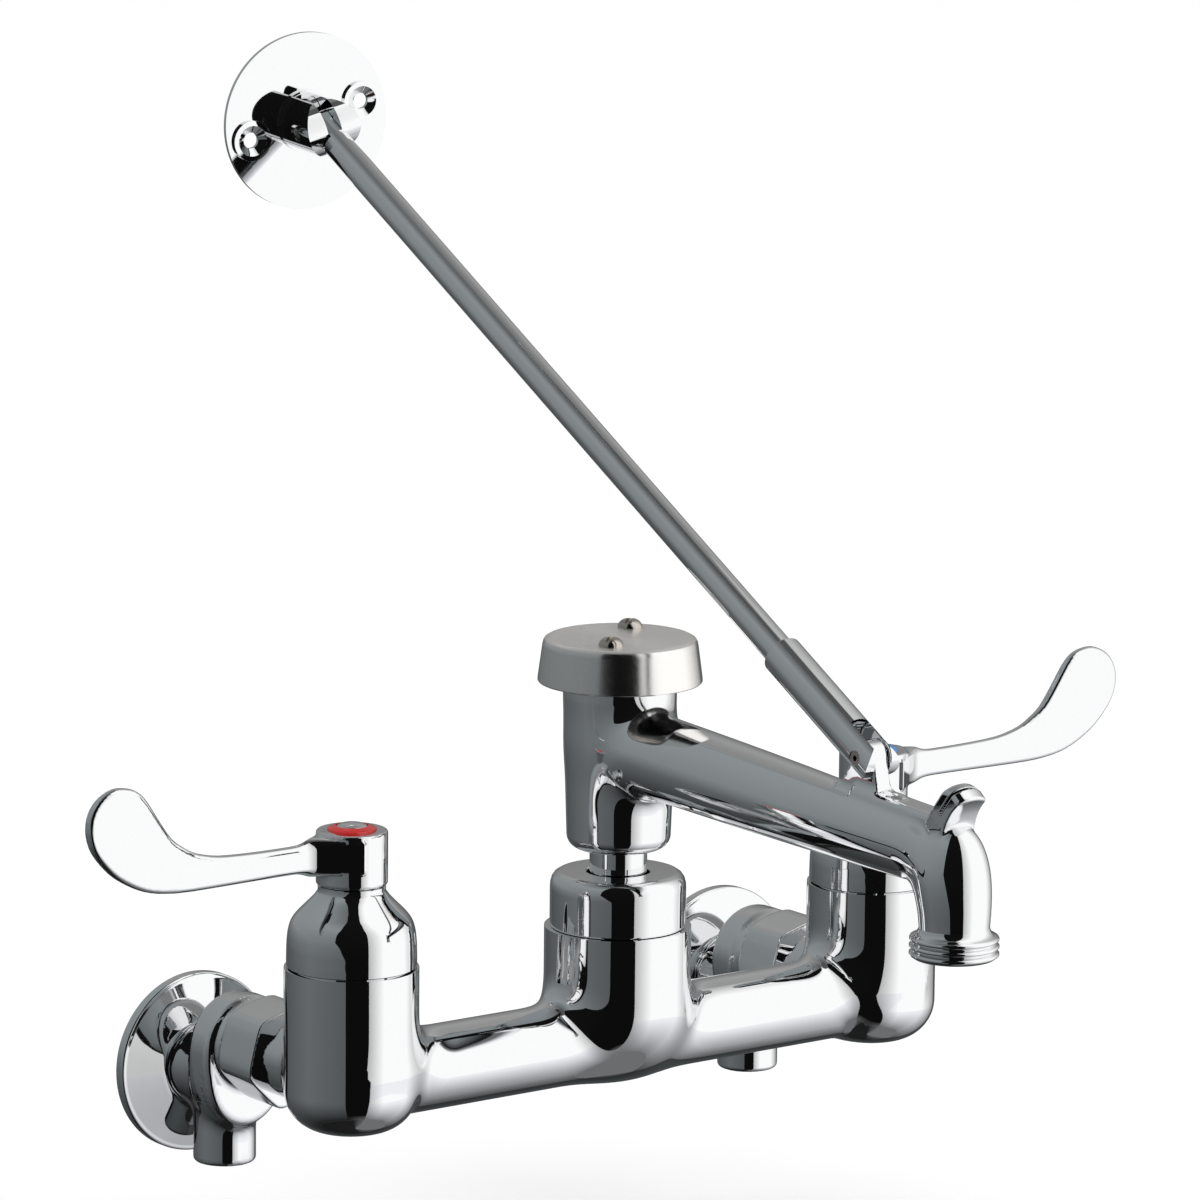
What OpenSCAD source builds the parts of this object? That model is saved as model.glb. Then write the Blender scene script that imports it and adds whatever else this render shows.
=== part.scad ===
// Wall faucet with wrist-blade handles, supply stops, vacuum-breaker spout and a top brace.
// Millimetres. Origin on the wall plane, midway between the two inlets and at their height.
// +X runs to the cold side, +Y into the wall, +Z up.

/* [Layout] */
// Distance between the two valve axes
valve_centres = 203.2; // [190:0.1:216]
// Distance from the wall to the valve axes
wall_to_valve = 85; // [80:0.5:95]
// Height of the valve towers from foot to seam
tower_h = 49.5; // [46:0.1:54]
// Height of the seam under the bonnets above the inlets
seam_height = 47; // [45:0.1:49]
// Outward shift of each inlet from its valve axis
inlet_shift = 1.9; // [0:0.1:3]
// Rise of the union's axis above the inlet
arm_rise = 11.5; // [10:0.1:13]
// Reach of the spout outlet in front of the valve axes
spout_reach = 166.8; // [150:0.1:190]
// Height of the spout outlet above the inlets
outlet_height = 69.4; // [64:0.1:72]

/* [Body casting] */
// Outer radius of each valve tower
tower_r = 20.6; // [20.2:0.1:22]
// Rounding under each valve tower
tower_round = 12; // [6:0.5:16]
// Radius of the bridge between the towers
bridge_r = 12.6; // [11:0.1:14]
// Outer radius of the centre tower
centre_r = 23.1; // [22.5:0.1:25]
// Radius of the collar behind each valve tower
collar_r = 12.6; // [12.4:0.1:13.5]

/* [Bonnets and handles] */
// Outer radius of the bonnet
bonnet_r = 19.9; // [19:0.1:20.4]
// Height of the bonnet above its seam
bonnet_h = 25.8; // [24:0.1:27]
// Radius of the bonnet's neck
neck_r = 10.2; // [9.5:0.1:10.8]
// Radius of the handle hub
hub_r = 11.05; // [10.5:0.05:12]
// Height of the handle hub
hub_h = 16.8; // [15:0.1:18]
// Reach of the handle from its axis
blade_reach = 98.8; // [90:0.1:110]
// Rise of the blade's top above the hub's foot
blade_rise = 40.8; // [34:0.1:46]
// Thickness of the handle blade
blade_t = 3.7; // [3:0.1:5]

/* [Spout] */
// Radius of the spout tower at its top
spout_tower_r = 17.8; // [17:0.1:19]
// Height of the spout tower's foot above the inlets
tower_foot_z = 70.6; // [69:0.1:74]
// Radius of the spout tube at the tower
tube_root_r = 13.2; // [12:0.1:14]
// Radius of the spout tube at the bend
tube_tip_r = 10.5; // [10:0.1:11.5]
// Height of the tube axis at the tower above the inlets
tube_root_z = 104.2; // [102:0.1:106]
// Outer radius of the hose thread on the outlet
hose_thread_r = 13.49; // [13:0.01:14]
// Radius of the shank
shank_r = 9.05; // [8.5:0.05:9.5]

/* [Vacuum breaker] */
// Radius of the cap at its rim
cap_r = 25.8; // [24:0.1:27]
// Height of the cap
cap_h = 13.8; // [12:0.1:16]
// Lift of the poppet between its two seats
poppet_lift = 5; // [3:0.1:6]

/* [Brace] */
// Length of the brace between its two pins
brace_length = 329.3; // [300:0.1:360]
// Rise of the brace above level
brace_rise = 28.34; // [20:0.01:40]
// Turn of the rod about its own axis
rod_twist = 17.5; // [0:0.1:30]
// Angle between the rod and the wall plate's normal
bracket_tilt = 28; // [20:0.1:40]
// Outer diameter of the brace sleeve
sleeve_d = 12.7; // [12:0.1:14]
// Diameter of the brace rod
rod_d = 9.525; // [8.5:0.005:10]
// Radius of the wall plate
plate_r = 29; // [28.6:0.1:32]
// Distance between the two screw holes of the wall plate
plate_hole_spacing = 41; // [38:0.1:42]

/* [Supply] */
// Radius of the wall flanges
flange_r = 28.6; // [27:0.1:32]
// Radius of the stop body
stop_r = 16.9; // [16:0.1:18]
// Radius of the stop barrel
barrel_r = 9.85; // [9.6:0.05:10.4]
// Depth of the barrel's mouth below the inlet axis
barrel_depth = 28.6; // [27:0.1:32]
// Distance across the flats of the union nuts
union_flats = 30; // [29.6:0.1:32]

/* [Hidden] */

$fn = 64;
fine_fn = 96;
ring_fn = 24;
bend_fn = 48;
hex_sides = 6;

// Clearances, the overrun of cuts and the rounding of small edges
run_gap = 0.05;
free_gap = 0.3;
over = 1;
edge_soft = 0.8;

// Valve towers
valve_y = -wall_to_valve;
valve_x = valve_centres / 2;
inlet_x = valve_x + inlet_shift;
foot_z = seam_height - tower_h;
bridge_lift = 0.3;
bridge_z = foot_z + bridge_lift + bridge_r;
body_bore_r = 17;
thread_depth = 9;
body_bore_depth = 23;
seat_z = seam_height - body_bore_depth;
inlet_bore_r = 7;
passage_r = 6.4;
passage_wall = 3;

// Cartridges
seal_h = 1.5;
disc_h = 3.4;
disc_r = 9.4;
fixed_disc_z = seat_z + seal_h;
turning_disc_z = fixed_disc_z + disc_h + run_gap;
stem_foot_z = turning_disc_z + disc_h;
stem_foot_h = 4.5;
stem_foot_r = 8.4;
stem_r = 4.6;
cartridge_r = 12.4;
cartridge_cup_r = 9.5;
cartridge_rise = 14;
cartridge_top_z = seam_height + cartridge_rise;
gland_r = 6.6;
neck_gap = 0.6;
gland_top_z = seam_height + bonnet_h - neck_gap;
port_r = 3.4;
drop_bore_r = (body_bore_r - cartridge_r) / 2 - free_gap;
drop_bore_place = (body_bore_r + cartridge_r) / 2;

// Handles
hub_z = seam_height + bonnet_h + free_gap;
hub_top_z = hub_z + hub_h;
socket_r = 4;
socket_depth = 8.6;
screw_shaft_r = 1.9;
button_r = 4.8;
button_h = 2.1;
ring_r = 7.65;
ring_sink = 1.2;
ring_lift = 0.5;
ring_rise = 1.5;
blade_root_fillet = 5;

// Spout nut and shank
nut_r = 21.4;
nut_h = 16.5;
nut_round = 3.4;
nut_drop = 0.7;
nut_z = seam_height - nut_drop;
nut_gap = 0.9;
spigot_r = 17.2;
spigot_h = 8.8;
spigot_top_z = nut_z + spigot_h;
spigot_bore_r = 11.1;
shank_foot_r = spigot_bore_r - run_gap;
shank_foot_h = 23;
shank_foot_z = spigot_top_z - shank_foot_h;
shank_bore_r = 7;
ring_seat_h = 2.6;
ring_seat_r = 15;
seal_section_r = 1.3;
seal_groove_h = 3.2;
seal_groove_depth = 2 * seal_section_r;
seal_inset = 4;
seal_step = 6;

// Spout
spout_y = valve_y - spout_reach;
bend_r = 18;
bend_step = 0.1;
corner_r = 10.8;
corner_inset = 1.4;
corner_drop = 2.4;
tube_slope = 1.7;
tube_run = spout_reach - bend_r + bend_r * sin(tube_slope);
tube_tip_z = tube_root_z - tube_run * tan(tube_slope);
bend_z = tube_tip_z - bend_r * cos(tube_slope);
tube_bore_r = 7.6;
thread_band_h = 7.2;
thread_root_r = 12.4;
thread_start = 0.5;
thread_pitch = 2.2;
thread_ridges = 3;
thread_flank = 0.4;
thread_ridge_h = 1.1;
thread_taper_h = 2.4;
tower_low_r = 16.2;
tower_round_foot = 5;
cap_rim_z = 124.5;
cap_top_z = cap_rim_z + cap_h;
cap_sheet = 1.2;
cap_taper = 1.8;
cap_top_t = 1.6;
tower_top_z = cap_top_z - cap_top_t;
tower_straight_h = 17;

// Vacuum breaker
chamber_low_z = 92;
breaker_bore_r = 12.4;
shank_seat_t = 4;
poppet_r = 10.8;
poppet_h = 2.6;
poppet_waist_r = 4.2;
poppet_top_r = 9.4;
poppet_top_h = 2.2;
poppet_seal_h = 1.4;
poppet_stem_r = 2.4;
poppet_stem_gap = 2;
vent_z = 116;
vent_h = 4;
vent_bore_r = 8;
vent_hub_r = 4.6;
vent_grate_h = 2.4;
spoke_w = 2.4;
spokes = 4;
air_notch_w = 14;
air_notch_h = 6;
air_notch_turn = 45;
cap_screw_turn = 42;
cap_screw_place = (breaker_bore_r + spout_tower_r) / 2;
cap_screw_r = 1.5;
cap_screw_len = 8;

// Brace lug, crest and bucket hook
lug_place = 125.7;
lug_y = valve_y - lug_place;
lug_z = 123.1;
lug_t = 5.7;
lug_r = 5;
lug_foot_front = 7;
lug_foot_rear = 12.5;
lug_foot_drop = 11;
pin_r = 2.4;
crest_w = 9;
crest_front_z = 111.6;
crest_rear_z = 113.2;
hook_w = 12.4;
hook_lean = 36;
hook_t = 7.6;
hook_tip_t = 5.8;
hook_len = 14;
hook_root = 12;
hook_round = 4;
hook_slit_w = 1.3;
hook_slit_depth = 7;
hook_front_y = spout_y - 1.2;
hook_front_z = 108.3;

// Brace
sleeve_len = 51;
fork_gap = 0.15;
fork_slot_w = lug_t + 2 * fork_gap;
fork_slot_len = 10;
sleeve_bore_depth = 36;
rod_insert = 30;
sleeve_chamfer = 1.4;
sleeve_pin_bore_r = 0.9;
tongue_t = 4.8;
tongue_len = 10;
boss_r = 9.5;
boss_root_r = 10.3;
boss_root_h = 1.2;
boss_slot_w = tongue_t + 2 * fork_gap;
pin_to_plate = 11.3;
plate_t = 1.6;
plate_hole_r = 2.6;
countersink_r = 5;
countersink_depth = 1.5;
hole_dish_r = 6.6;
hole_dish_h = 1.2;
bracket_pin_r = 2.4;

// Supply arms
stop_back_y = -22.5;
stop_body_t = 14;
stop_front_y = stop_back_y - stop_body_t;
stop_wall = 4;
stop_round = 3;
arm_shank_r = 13.4;
inlet_thread_r = 9.15;
inlet_thread_len = 12;
inlet_end_len = 0.5;
inlet_end_step = 0.7;
barrel_y = -18.5;
barrel_round = 1.6;
barrel_bore_r = 7.4;
bulb_r = 12;
bulb_y = -23.5;
bulb_z = -5;
side_port_r = 3.4;
side_port_z = -8.6;
stop_seat_z = -4;
stop_seat_r = 4.2;
cross_port_z = 6;
gland_len = 11;
gland_inset = 2.4;
carrier_r = 6;
carrier_h = 3.2;
carrier_lift = 4.2;
carrier_z = stop_seat_z - carrier_lift - carrier_h;
spindle_r = 4;
spindle_inset = 1.2;
spindle_slot_w = 1.4;
spindle_slot_depth = 2.2;
spindle_pin_r = 2;
spindle_pin_h = 1.4;

// Unions
union_turn = 15;
union_gap = 2;
union_back_y = stop_front_y - union_gap;
union_len = 14.5;
union_lip = 3.6;
union_thread_r = 12.4;
tail_r = 10.4;
tail_flange_r = 12.1;
tail_flange_h = 2;
union_washer_h = 1.5;
tail_end_y = union_back_y - union_lip - tail_flange_h;
union_seat_y = tail_end_y - union_washer_h;

// Wall flanges
flange_rim_h = 3.6;
flange_rim_w = 2.4;
flange_sheet = 1.1;
flange_dome_h = 8.2;
flange_steps = 10;

// Blade outline from the hub's top edge round the tip and back: shares of the reach and of the rise
blade_shares = [[0.10, 0.39], [0.165, 0.358], [0.23, 0.344], [0.33, 0.354], [0.42, 0.367], [0.51, 0.39],
    [0.585, 0.43], [0.645, 0.495], [0.69, 0.585], [0.725, 0.72], [0.76, 0.88], [0.80, 0.97],
    [0.85, 1.0], [0.905, 0.965], [0.955, 0.87], [0.988, 0.75], [1.0, 0.65], [0.985, 0.55],
    [0.945, 0.43], [0.885, 0.31], [0.81, 0.22], [0.73, 0.165], [0.63, 0.14], [0.50, 0.135],
    [0.35, 0.135], [0.23, 0.125], [0.165, 0.10], [0.10, 0.06]];
blade_steps = 3;

brace_foot = [0, lug_y, lug_z];

// Points of an arc about (cx, cy) from angle a to angle b
function arc(cx, cy, r, a, b, steps = 12) =
    [for (i = [0 : steps]) [cx + r * cos(a + (b - a) * i / steps), cy + r * sin(a + (b - a) * i / steps)]];

// A point between p1 and p2 on a smooth curve that also follows p0 and p3
function curve_point(p0, p1, p2, p3, t) =
    (2 * p1 + (p2 - p0) * t + (2 * p0 - 5 * p1 + 4 * p2 - p3) * t * t
        + (3 * p1 - p0 - 3 * p2 + p3) * t * t * t) / 2;

// A smooth curve through a list of points
function curve(p, steps) =
    let (last = len(p) - 1)
    concat([for (i = [0 : last - 1]) for (j = [0 : steps - 1])
        curve_point(p[max(i - 1, 0)], p[i], p[i + 1], p[min(i + 2, last)], j / steps)], [p[last]]);

// A ring standing on z = 0
module washer(r_out, r_in, h) {
    difference() {
        cylinder(r = r_out, h = h);
        translate([0, 0, -over])
            cylinder(r = r_in, h = h + 2 * over);
    }
}

// A cylinder along +Y from y0 to y1
module rod_y(r, y0, y1) {
    translate([0, y1, 0])
        rotate([90, 0, 0])
            cylinder(r = r, h = y1 - y0);
}

// A cylinder along +X from x0 to x1
module rod_x(r, x0, x1) {
    translate([x0, 0, 0])
        rotate([0, 90, 0])
            cylinder(r = r, h = x1 - x0);
}

// The half profile of a tower with a rounded foot
module tower_profile(r, round_r, z0, z1) {
    polygon(concat([[0, z0]], arc(r - round_r, z0 + round_r, round_r, -90, 0), [[r, z1], [0, z1]]));
}

// Moves its children to the valve axis of one side
module at_valve(side) {
    translate([side * valve_x, valve_y, 0])
        children();
}

// Moves its children to the union's axis of one side
module at_arm(side) {
    translate([side * valve_x, 0, arm_rise])
        children();
}

// Moves its children to the inlet's axis of one side
module at_inlet(side) {
    translate([side * inlet_x, 0, 0])
        children();
}

// Moves its children to the centre tower's axis
module at_centre() {
    translate([0, valve_y, 0])
        children();
}

// Moves its children to the outlet's axis
module at_outlet() {
    translate([0, spout_y, 0])
        children();
}

// Frame of the brace: origin at the lower pin, +Y along the rod
module at_brace() {
    translate(brace_foot)
        rotate([brace_rise, 0, 0])
            children();
}

// Frame of the bracket: origin at the upper pin, +Y towards the plate
module at_bracket() {
    at_brace()
        rotate([0, -rod_twist, 0])
            translate([0, brace_length, 0])
                rotate([-bracket_tilt, 0, 0])
                    children();
}

// The hollow inside one valve tower
module valve_cavity(side) {
    at_valve(side) {
        translate([0, 0, seat_z])
            cylinder(r = body_bore_r, h = body_bore_depth + over);
        translate([0, 0, arm_rise])
            cylinder(r = inlet_bore_r, h = seat_z - arm_rise + over);
        translate([-side * drop_bore_place, 0, bridge_z])
            cylinder(r = drop_bore_r, h = seat_z - bridge_z + over);
    }
    at_arm(side)
        rod_y(inlet_bore_r, valve_y, union_seat_y + over);
}

// Cast body: two valve towers, bridge, centre tower and two back collars
module body_casting() {
    passage_end = valve_x - inlet_bore_r - passage_wall;
    color("silver")
        difference() {
            union() {
                for (side = [-1, 1]) {
                    at_valve(side)
                        rotate_extrude()
                            tower_profile(tower_r, tower_round, foot_z, seam_height);
                    at_arm(side) {
                        rod_y(collar_r, valve_y, union_back_y - union_len);
                        rod_y(union_thread_r, valve_y, union_seat_y);
                    }
                }
                translate([0, valve_y, bridge_z])
                    rod_x(bridge_r, -valve_x, valve_x);
                at_centre() {
                    rotate_extrude()
                        tower_profile(centre_r, centre_r - edge_soft, foot_z, nut_z);
                    translate([0, 0, nut_z - over])
                        cylinder(r = spigot_r, h = spigot_h + over);
                }
            }
            for (side = [-1, 1])
                valve_cavity(side);
            translate([0, valve_y, bridge_z])
                rod_x(passage_r, -passage_end, passage_end);
            at_centre() {
                translate([0, 0, shank_foot_z - free_gap])
                    cylinder(r = spigot_bore_r, h = shank_foot_h + free_gap + over);
                translate([0, 0, bridge_z])
                    cylinder(r = shank_bore_r, h = shank_foot_z - bridge_z);
            }
        }
}

// Bottle-shaped shell that holds the cartridge down
module bonnet(side) {
    shoulder_z = 10.4;
    shoulder_round = 8;
    shoulder_turn = 50;
    cone_z = 22.6;
    stub_gap = 0.02;
    color("silver")
        at_valve(side)
            translate([0, 0, seam_height])
                difference() {
                    union() {
                        rotate_extrude($fn = fine_fn)
                            polygon(concat([[0, 0], [bonnet_r, 0]],
                                arc(bonnet_r - shoulder_round, shoulder_z, shoulder_round, 0, shoulder_turn),
                                [[neck_r + edge_soft, cone_z], [neck_r, cone_z + edge_soft],
                                [neck_r, bonnet_h], [0, bonnet_h]]));
                        translate([0, 0, -thread_depth])
                            cylinder(r = body_bore_r - stub_gap, h = thread_depth + over);
                    }
                    translate([0, 0, -thread_depth - over])
                        cylinder(r = cartridge_r, h = cartridge_rise + thread_depth + over);
                    cylinder(r = gland_r, h = bonnet_h + over);
                }
}

// Brass cartridge housing with side ports and a gland for the stem
module cartridge_body(side) {
    cup_h = stem_foot_z + stem_foot_h + run_gap - seat_z;
    port_z = stem_foot_z + port_r;
    color("goldenrod")
        at_valve(side)
            difference() {
                union() {
                    translate([0, 0, seat_z])
                        cylinder(r = cartridge_r, h = cartridge_top_z - seat_z);
                    translate([0, 0, cartridge_top_z - over])
                        cylinder(r = gland_r, h = gland_top_z - cartridge_top_z + over);
                }
                translate([0, 0, seat_z - over])
                    cylinder(r = cartridge_cup_r, h = cup_h + over);
                cylinder(r = stem_r + run_gap, h = gland_top_z + over);
                translate([0, 0, port_z])
                    rod_x(port_r, -cartridge_r - over, cartridge_r + over);
            }
}

// A ceramic disc with two openings opposite each other, turned about its axis
module ceramic_disc(side, z, disc_turn) {
    opening_r = 2.6;
    opening_place = 4.6;
    color("ivory")
        at_valve(side)
            translate([0, 0, z])
                difference() {
                    cylinder(r = disc_r, h = disc_h);
                    for (turn = [0, 180])
                        rotate([0, 0, turn + disc_turn])
                            translate([opening_place, 0, -over])
                                cylinder(r = opening_r, h = disc_h + 2 * over);
                }
}

// Stem whose foot, a crossbar, turns the upper disc; its bore takes the handle screw
module stem(side) {
    bore_depth = 11;
    crossbar_w = 3.8;
    color("goldenrod")
        at_valve(side)
            difference() {
                union() {
                    translate([0, 0, stem_foot_z])
                        intersection() {
                            cylinder(r = stem_foot_r, h = stem_foot_h);
                            translate([-stem_foot_r, -crossbar_w / 2, 0])
                                cube([2 * stem_foot_r, crossbar_w, stem_foot_h]);
                        }
                    translate([0, 0, stem_foot_z + stem_foot_h - over])
                        cylinder(r = stem_r, h = hub_z - free_gap - stem_foot_z - stem_foot_h + over);
                    translate([0, 0, hub_z - over])
                        cylinder(r = socket_r, h = socket_depth + over);
                }
                translate([0, 0, hub_z + socket_depth - bore_depth])
                    cylinder(r = screw_shaft_r, h = bore_depth + over);
            }
}

// Wrist-blade handle with a round hub
module handle(side) {
    outline = curve([for (p = blade_shares) [side * p[0] * blade_reach, p[1] * blade_rise]], blade_steps);
    fillet_y = blade_t / 2 + blade_root_fillet;
    fillet_x = sqrt(pow(hub_r + blade_root_fillet, 2) - pow(fillet_y, 2));
    fillet_top = blade_shares[0][1] * blade_rise;
    fillet_low = blade_shares[len(blade_shares) - 2][1] * blade_rise;
    color("silver")
        at_valve(side)
            translate([0, 0, hub_z])
                difference() {
                    union() {
                        cylinder(r = hub_r, h = hub_h);
                        translate([0, blade_t / 2, 0])
                            rotate([90, 0, 0])
                                linear_extrude(height = blade_t)
                                    polygon(outline);
                        for (face = [-1, 1])
                            scale([side, face, 1])
                                translate([0, 0, fillet_low])
                                    linear_extrude(height = fillet_top - fillet_low)
                                        polygon(concat([[0, 0]],
                                            arc(fillet_x, fillet_y, blade_root_fillet, -90,
                                                -180 + atan2(fillet_y, fillet_x), 8)));
                    }
                    translate([0, 0, -over])
                        cylinder(r = socket_r, h = socket_depth + over);
                    cylinder(r = screw_shaft_r, h = hub_h + over);
                    translate([0, 0, hub_h - ring_sink])
                        cylinder(r = ring_r, h = ring_sink + over);
                }
}

// Coloured ring in the recess on top of the hub
module index_ring(side, tint) {
    color(tint)
        at_valve(side)
            translate([0, 0, hub_top_z - ring_sink])
                rotate_extrude()
                    polygon([[button_r, 0], [ring_r, 0], [ring_r, ring_sink + ring_lift],
                        [button_r, ring_sink + ring_rise]]);
}

// Handle screw with a domed button head
module handle_screw(side) {
    dome_r = 9;
    shaft_len = 17;
    color("silver")
        at_valve(side)
            translate([0, 0, hub_top_z - ring_sink]) {
                intersection() {
                    cylinder(r = button_r, h = ring_sink + button_h);
                    translate([0, 0, ring_sink + button_h - dome_r])
                        sphere(r = dome_r);
                }
                translate([0, 0, -shaft_len])
                    cylinder(r = screw_shaft_r, h = shaft_len + over);
            }
}

// Rubber rings under the fixed discs
module seat_seals() {
    color("dimgray")
        for (side = [-1, 1])
            at_valve(side)
                translate([0, 0, seat_z])
                    washer(disc_r, inlet_bore_r, seal_h);
}

// Round nut that holds the spout on the centre tower
module spout_nut() {
    color("silver")
        at_centre()
            translate([0, 0, nut_z])
                difference() {
                    rotate_extrude($fn = fine_fn)
                        polygon(concat([[0, 0], [nut_r - edge_soft, 0], [nut_r, edge_soft]],
                            arc(nut_r - nut_round, nut_h - nut_round, nut_round, 0, 90), [[0, nut_h]]));
                    translate([0, 0, -over])
                        cylinder(r = spigot_r, h = spigot_h + ring_seat_h + free_gap + over);
                    cylinder(r = shank_r + nut_gap, h = nut_h + over);
                }
}

// Polished tube between the centre tower and the spout tower
module shank() {
    top_z = chamber_low_z - shank_seat_t;
    color("silver")
        at_centre()
            difference() {
                union() {
                    translate([0, 0, shank_foot_z])
                        cylinder(r = shank_foot_r, h = shank_foot_h);
                    translate([0, 0, spigot_top_z - over])
                        cylinder(r = shank_r, h = top_z - spigot_top_z + over);
                }
                translate([0, 0, shank_foot_z - over])
                    cylinder(r = shank_bore_r, h = top_z - shank_foot_z + 2 * over);
                for (i = [0, 1])
                    translate([0, 0, shank_foot_z + seal_inset + i * seal_step])
                        washer(shank_foot_r + over, shank_foot_r - seal_groove_depth, seal_groove_h);
            }
}

// Ring that keeps the shank under the nut
module shank_ring() {
    color("goldenrod")
        at_centre()
            translate([0, 0, spigot_top_z + run_gap])
                washer(ring_seat_r, shank_r, ring_seat_h);
}

// Two rubber rings in the shank's grooves
module shank_seals() {
    ring_place = shank_foot_r - seal_section_r;
    color("dimgray")
        at_centre()
            for (i = [0, 1])
                translate([0, 0, shank_foot_z + seal_inset + i * seal_step + seal_groove_h / 2])
                    rotate_extrude()
                        translate([ring_place, 0])
                            circle(r = seal_section_r, $fn = ring_fn);
}

// Tapered tube from the tower to the start of the bend
module spout_tube(r0, r1) {
    translate([0, valve_y, tube_root_z])
        rotate([90 + tube_slope, 0, 0])
            cylinder(r1 = r0, r2 = r1, h = tube_run / cos(tube_slope) + over);
}

// Quarter bend of a tube that ends over the outlet
module spout_bend(r) {
    translate([0, spout_y + bend_r, bend_z])
        rotate([0, -90, 0])
            rotate([0, 0, -tube_slope])
                rotate_extrude(angle = tube_slope - 90, $fn = bend_fn)
                    translate([bend_r, 0])
                        circle(r = r, $fn = bend_fn);
}

// Hose thread as a band with rounded ridges
module hose_thread() {
    at_outlet()
        translate([0, 0, outlet_height])
            rotate_extrude($fn = fine_fn) {
                square([thread_root_r, thread_band_h]);
                for (i = [0 : thread_ridges - 1])
                    translate([0, thread_start + i * thread_pitch])
                        polygon([[0, 0], [hose_thread_r - thread_flank, 0], [hose_thread_r, thread_flank],
                            [hose_thread_r, thread_ridge_h],
                            [hose_thread_r - thread_flank, thread_ridge_h + thread_flank],
                            [0, thread_ridge_h + thread_flank]]);
                translate([0, thread_band_h])
                    polygon([[0, 0], [thread_root_r, 0], [tube_tip_r, thread_taper_h], [0, thread_taper_h]]);
            }
}

// Upright lug that the brace's fork straddles
module brace_lug() {
    translate([lug_t / 2, lug_y, lug_z])
        rotate([0, -90, 0])
            linear_extrude(height = lug_t) {
                circle(r = lug_r);
                polygon([[0, -lug_r], [0, lug_r], [-lug_foot_drop, lug_foot_rear],
                    [tube_root_z - lug_z, lug_foot_rear], [tube_root_z - lug_z, -lug_foot_front],
                    [-lug_foot_drop, -lug_foot_front]]);
            }
}

// Low crest on the tube from the lug to the hook
module tube_crest() {
    translate([crest_w / 2, 0, 0])
        rotate([0, -90, 0])
            linear_extrude(height = crest_w)
                polygon([[tube_tip_z, lug_y], [crest_rear_z, lug_y],
                    [crest_front_z, hook_front_y + hook_root], [tube_tip_z, hook_front_y + hook_root]]);
}

// Bucket hook: a tab with rounded corners that leans forward, slit across its end
module bucket_hook() {
    translate([0, hook_front_y, hook_front_z])
        rotate([hook_lean, 0, 0])
            difference() {
                intersection() {
                    translate([hook_w / 2, 0, 0])
                        rotate([0, -90, 0])
                            linear_extrude(height = hook_w)
                                polygon([[-hook_root, 0], [0, 0], [hook_len - edge_soft, 0],
                                    [hook_len, edge_soft], [hook_len, hook_tip_t - edge_soft],
                                    [hook_len - edge_soft, hook_tip_t], [0, hook_t],
                                    [-hook_root, hook_t]]);
                    rotate([90, 0, 0])
                        linear_extrude(height = 3 * hook_t, center = true)
                            polygon(concat([[-hook_w / 2, -hook_root]],
                                [[hook_w / 2, -hook_root]],
                                arc(hook_w / 2 - hook_round, hook_len - hook_round, hook_round, 0, 90),
                                arc(hook_round - hook_w / 2, hook_len - hook_round, hook_round, 90, 180)));
                }
                translate([-hook_w, hook_tip_t / 2 - hook_slit_w / 2, hook_len - hook_slit_depth])
                    cube([2 * hook_w, hook_slit_w, hook_slit_depth + over]);
            }
}

// Places of the two cap screws
function cap_screw_places() =
    [for (turn = [0, 180]) [cap_screw_place * cos(cap_screw_turn + turn),
        valve_y + cap_screw_place * sin(cap_screw_turn + turn)]];

// Cast spout: tower, tube, brace lug, bucket hook and threaded outlet
module spout_casting() {
    shank_top_z = chamber_low_z - shank_seat_t;
    color("silver")
        difference() {
            union() {
                at_centre()
                    rotate_extrude($fn = fine_fn)
                        polygon(concat([[0, tower_foot_z]],
                            arc(tower_low_r - tower_round_foot, tower_foot_z + tower_round_foot,
                                tower_round_foot, -90, 0, 6),
                            [[spout_tower_r, tower_top_z - tower_straight_h],
                            [spout_tower_r, tower_top_z], [0, tower_top_z]]));
                spout_tube(tube_root_r, tube_tip_r);
                spout_bend(tube_tip_r - bend_step);
                translate([0, spout_y + corner_inset, tube_tip_z - corner_drop])
                    sphere(r = corner_r);
                at_outlet()
                    translate([0, 0, outlet_height])
                        cylinder(r = tube_tip_r, h = bend_z - outlet_height + over);
                hose_thread();
                brace_lug();
                tube_crest();
                bucket_hook();
            }
            at_centre() {
                translate([0, 0, chamber_low_z])
                    cylinder(r = breaker_bore_r, h = tower_top_z - chamber_low_z + over);
                translate([0, 0, tower_foot_z - over])
                    cylinder(r = shank_r, h = shank_top_z - tower_foot_z + over);
                translate([0, 0, tower_foot_z])
                    cylinder(r = shank_bore_r, h = chamber_low_z - tower_foot_z + over);
                translate([0, 0, tower_top_z - air_notch_h])
                    rotate([0, 0, air_notch_turn])
                        translate([-air_notch_w / 2, -cap_r, 0])
                            cube([air_notch_w, 2 * cap_r, air_notch_h + over]);
            }
            spout_tube(tube_bore_r, tube_bore_r);
            spout_bend(tube_bore_r - bend_step);
            at_outlet()
                translate([0, 0, outlet_height - over])
                    cylinder(r = tube_bore_r, h = bend_z - outlet_height + 2 * over);
            for (p = cap_screw_places())
                translate([p[0], p[1], tower_top_z - cap_screw_len])
                    cylinder(r = cap_screw_r, h = cap_screw_len + over);
            translate(brace_foot)
                rod_x(pin_r + run_gap, -sleeve_d, sleeve_d);
        }
}

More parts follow.
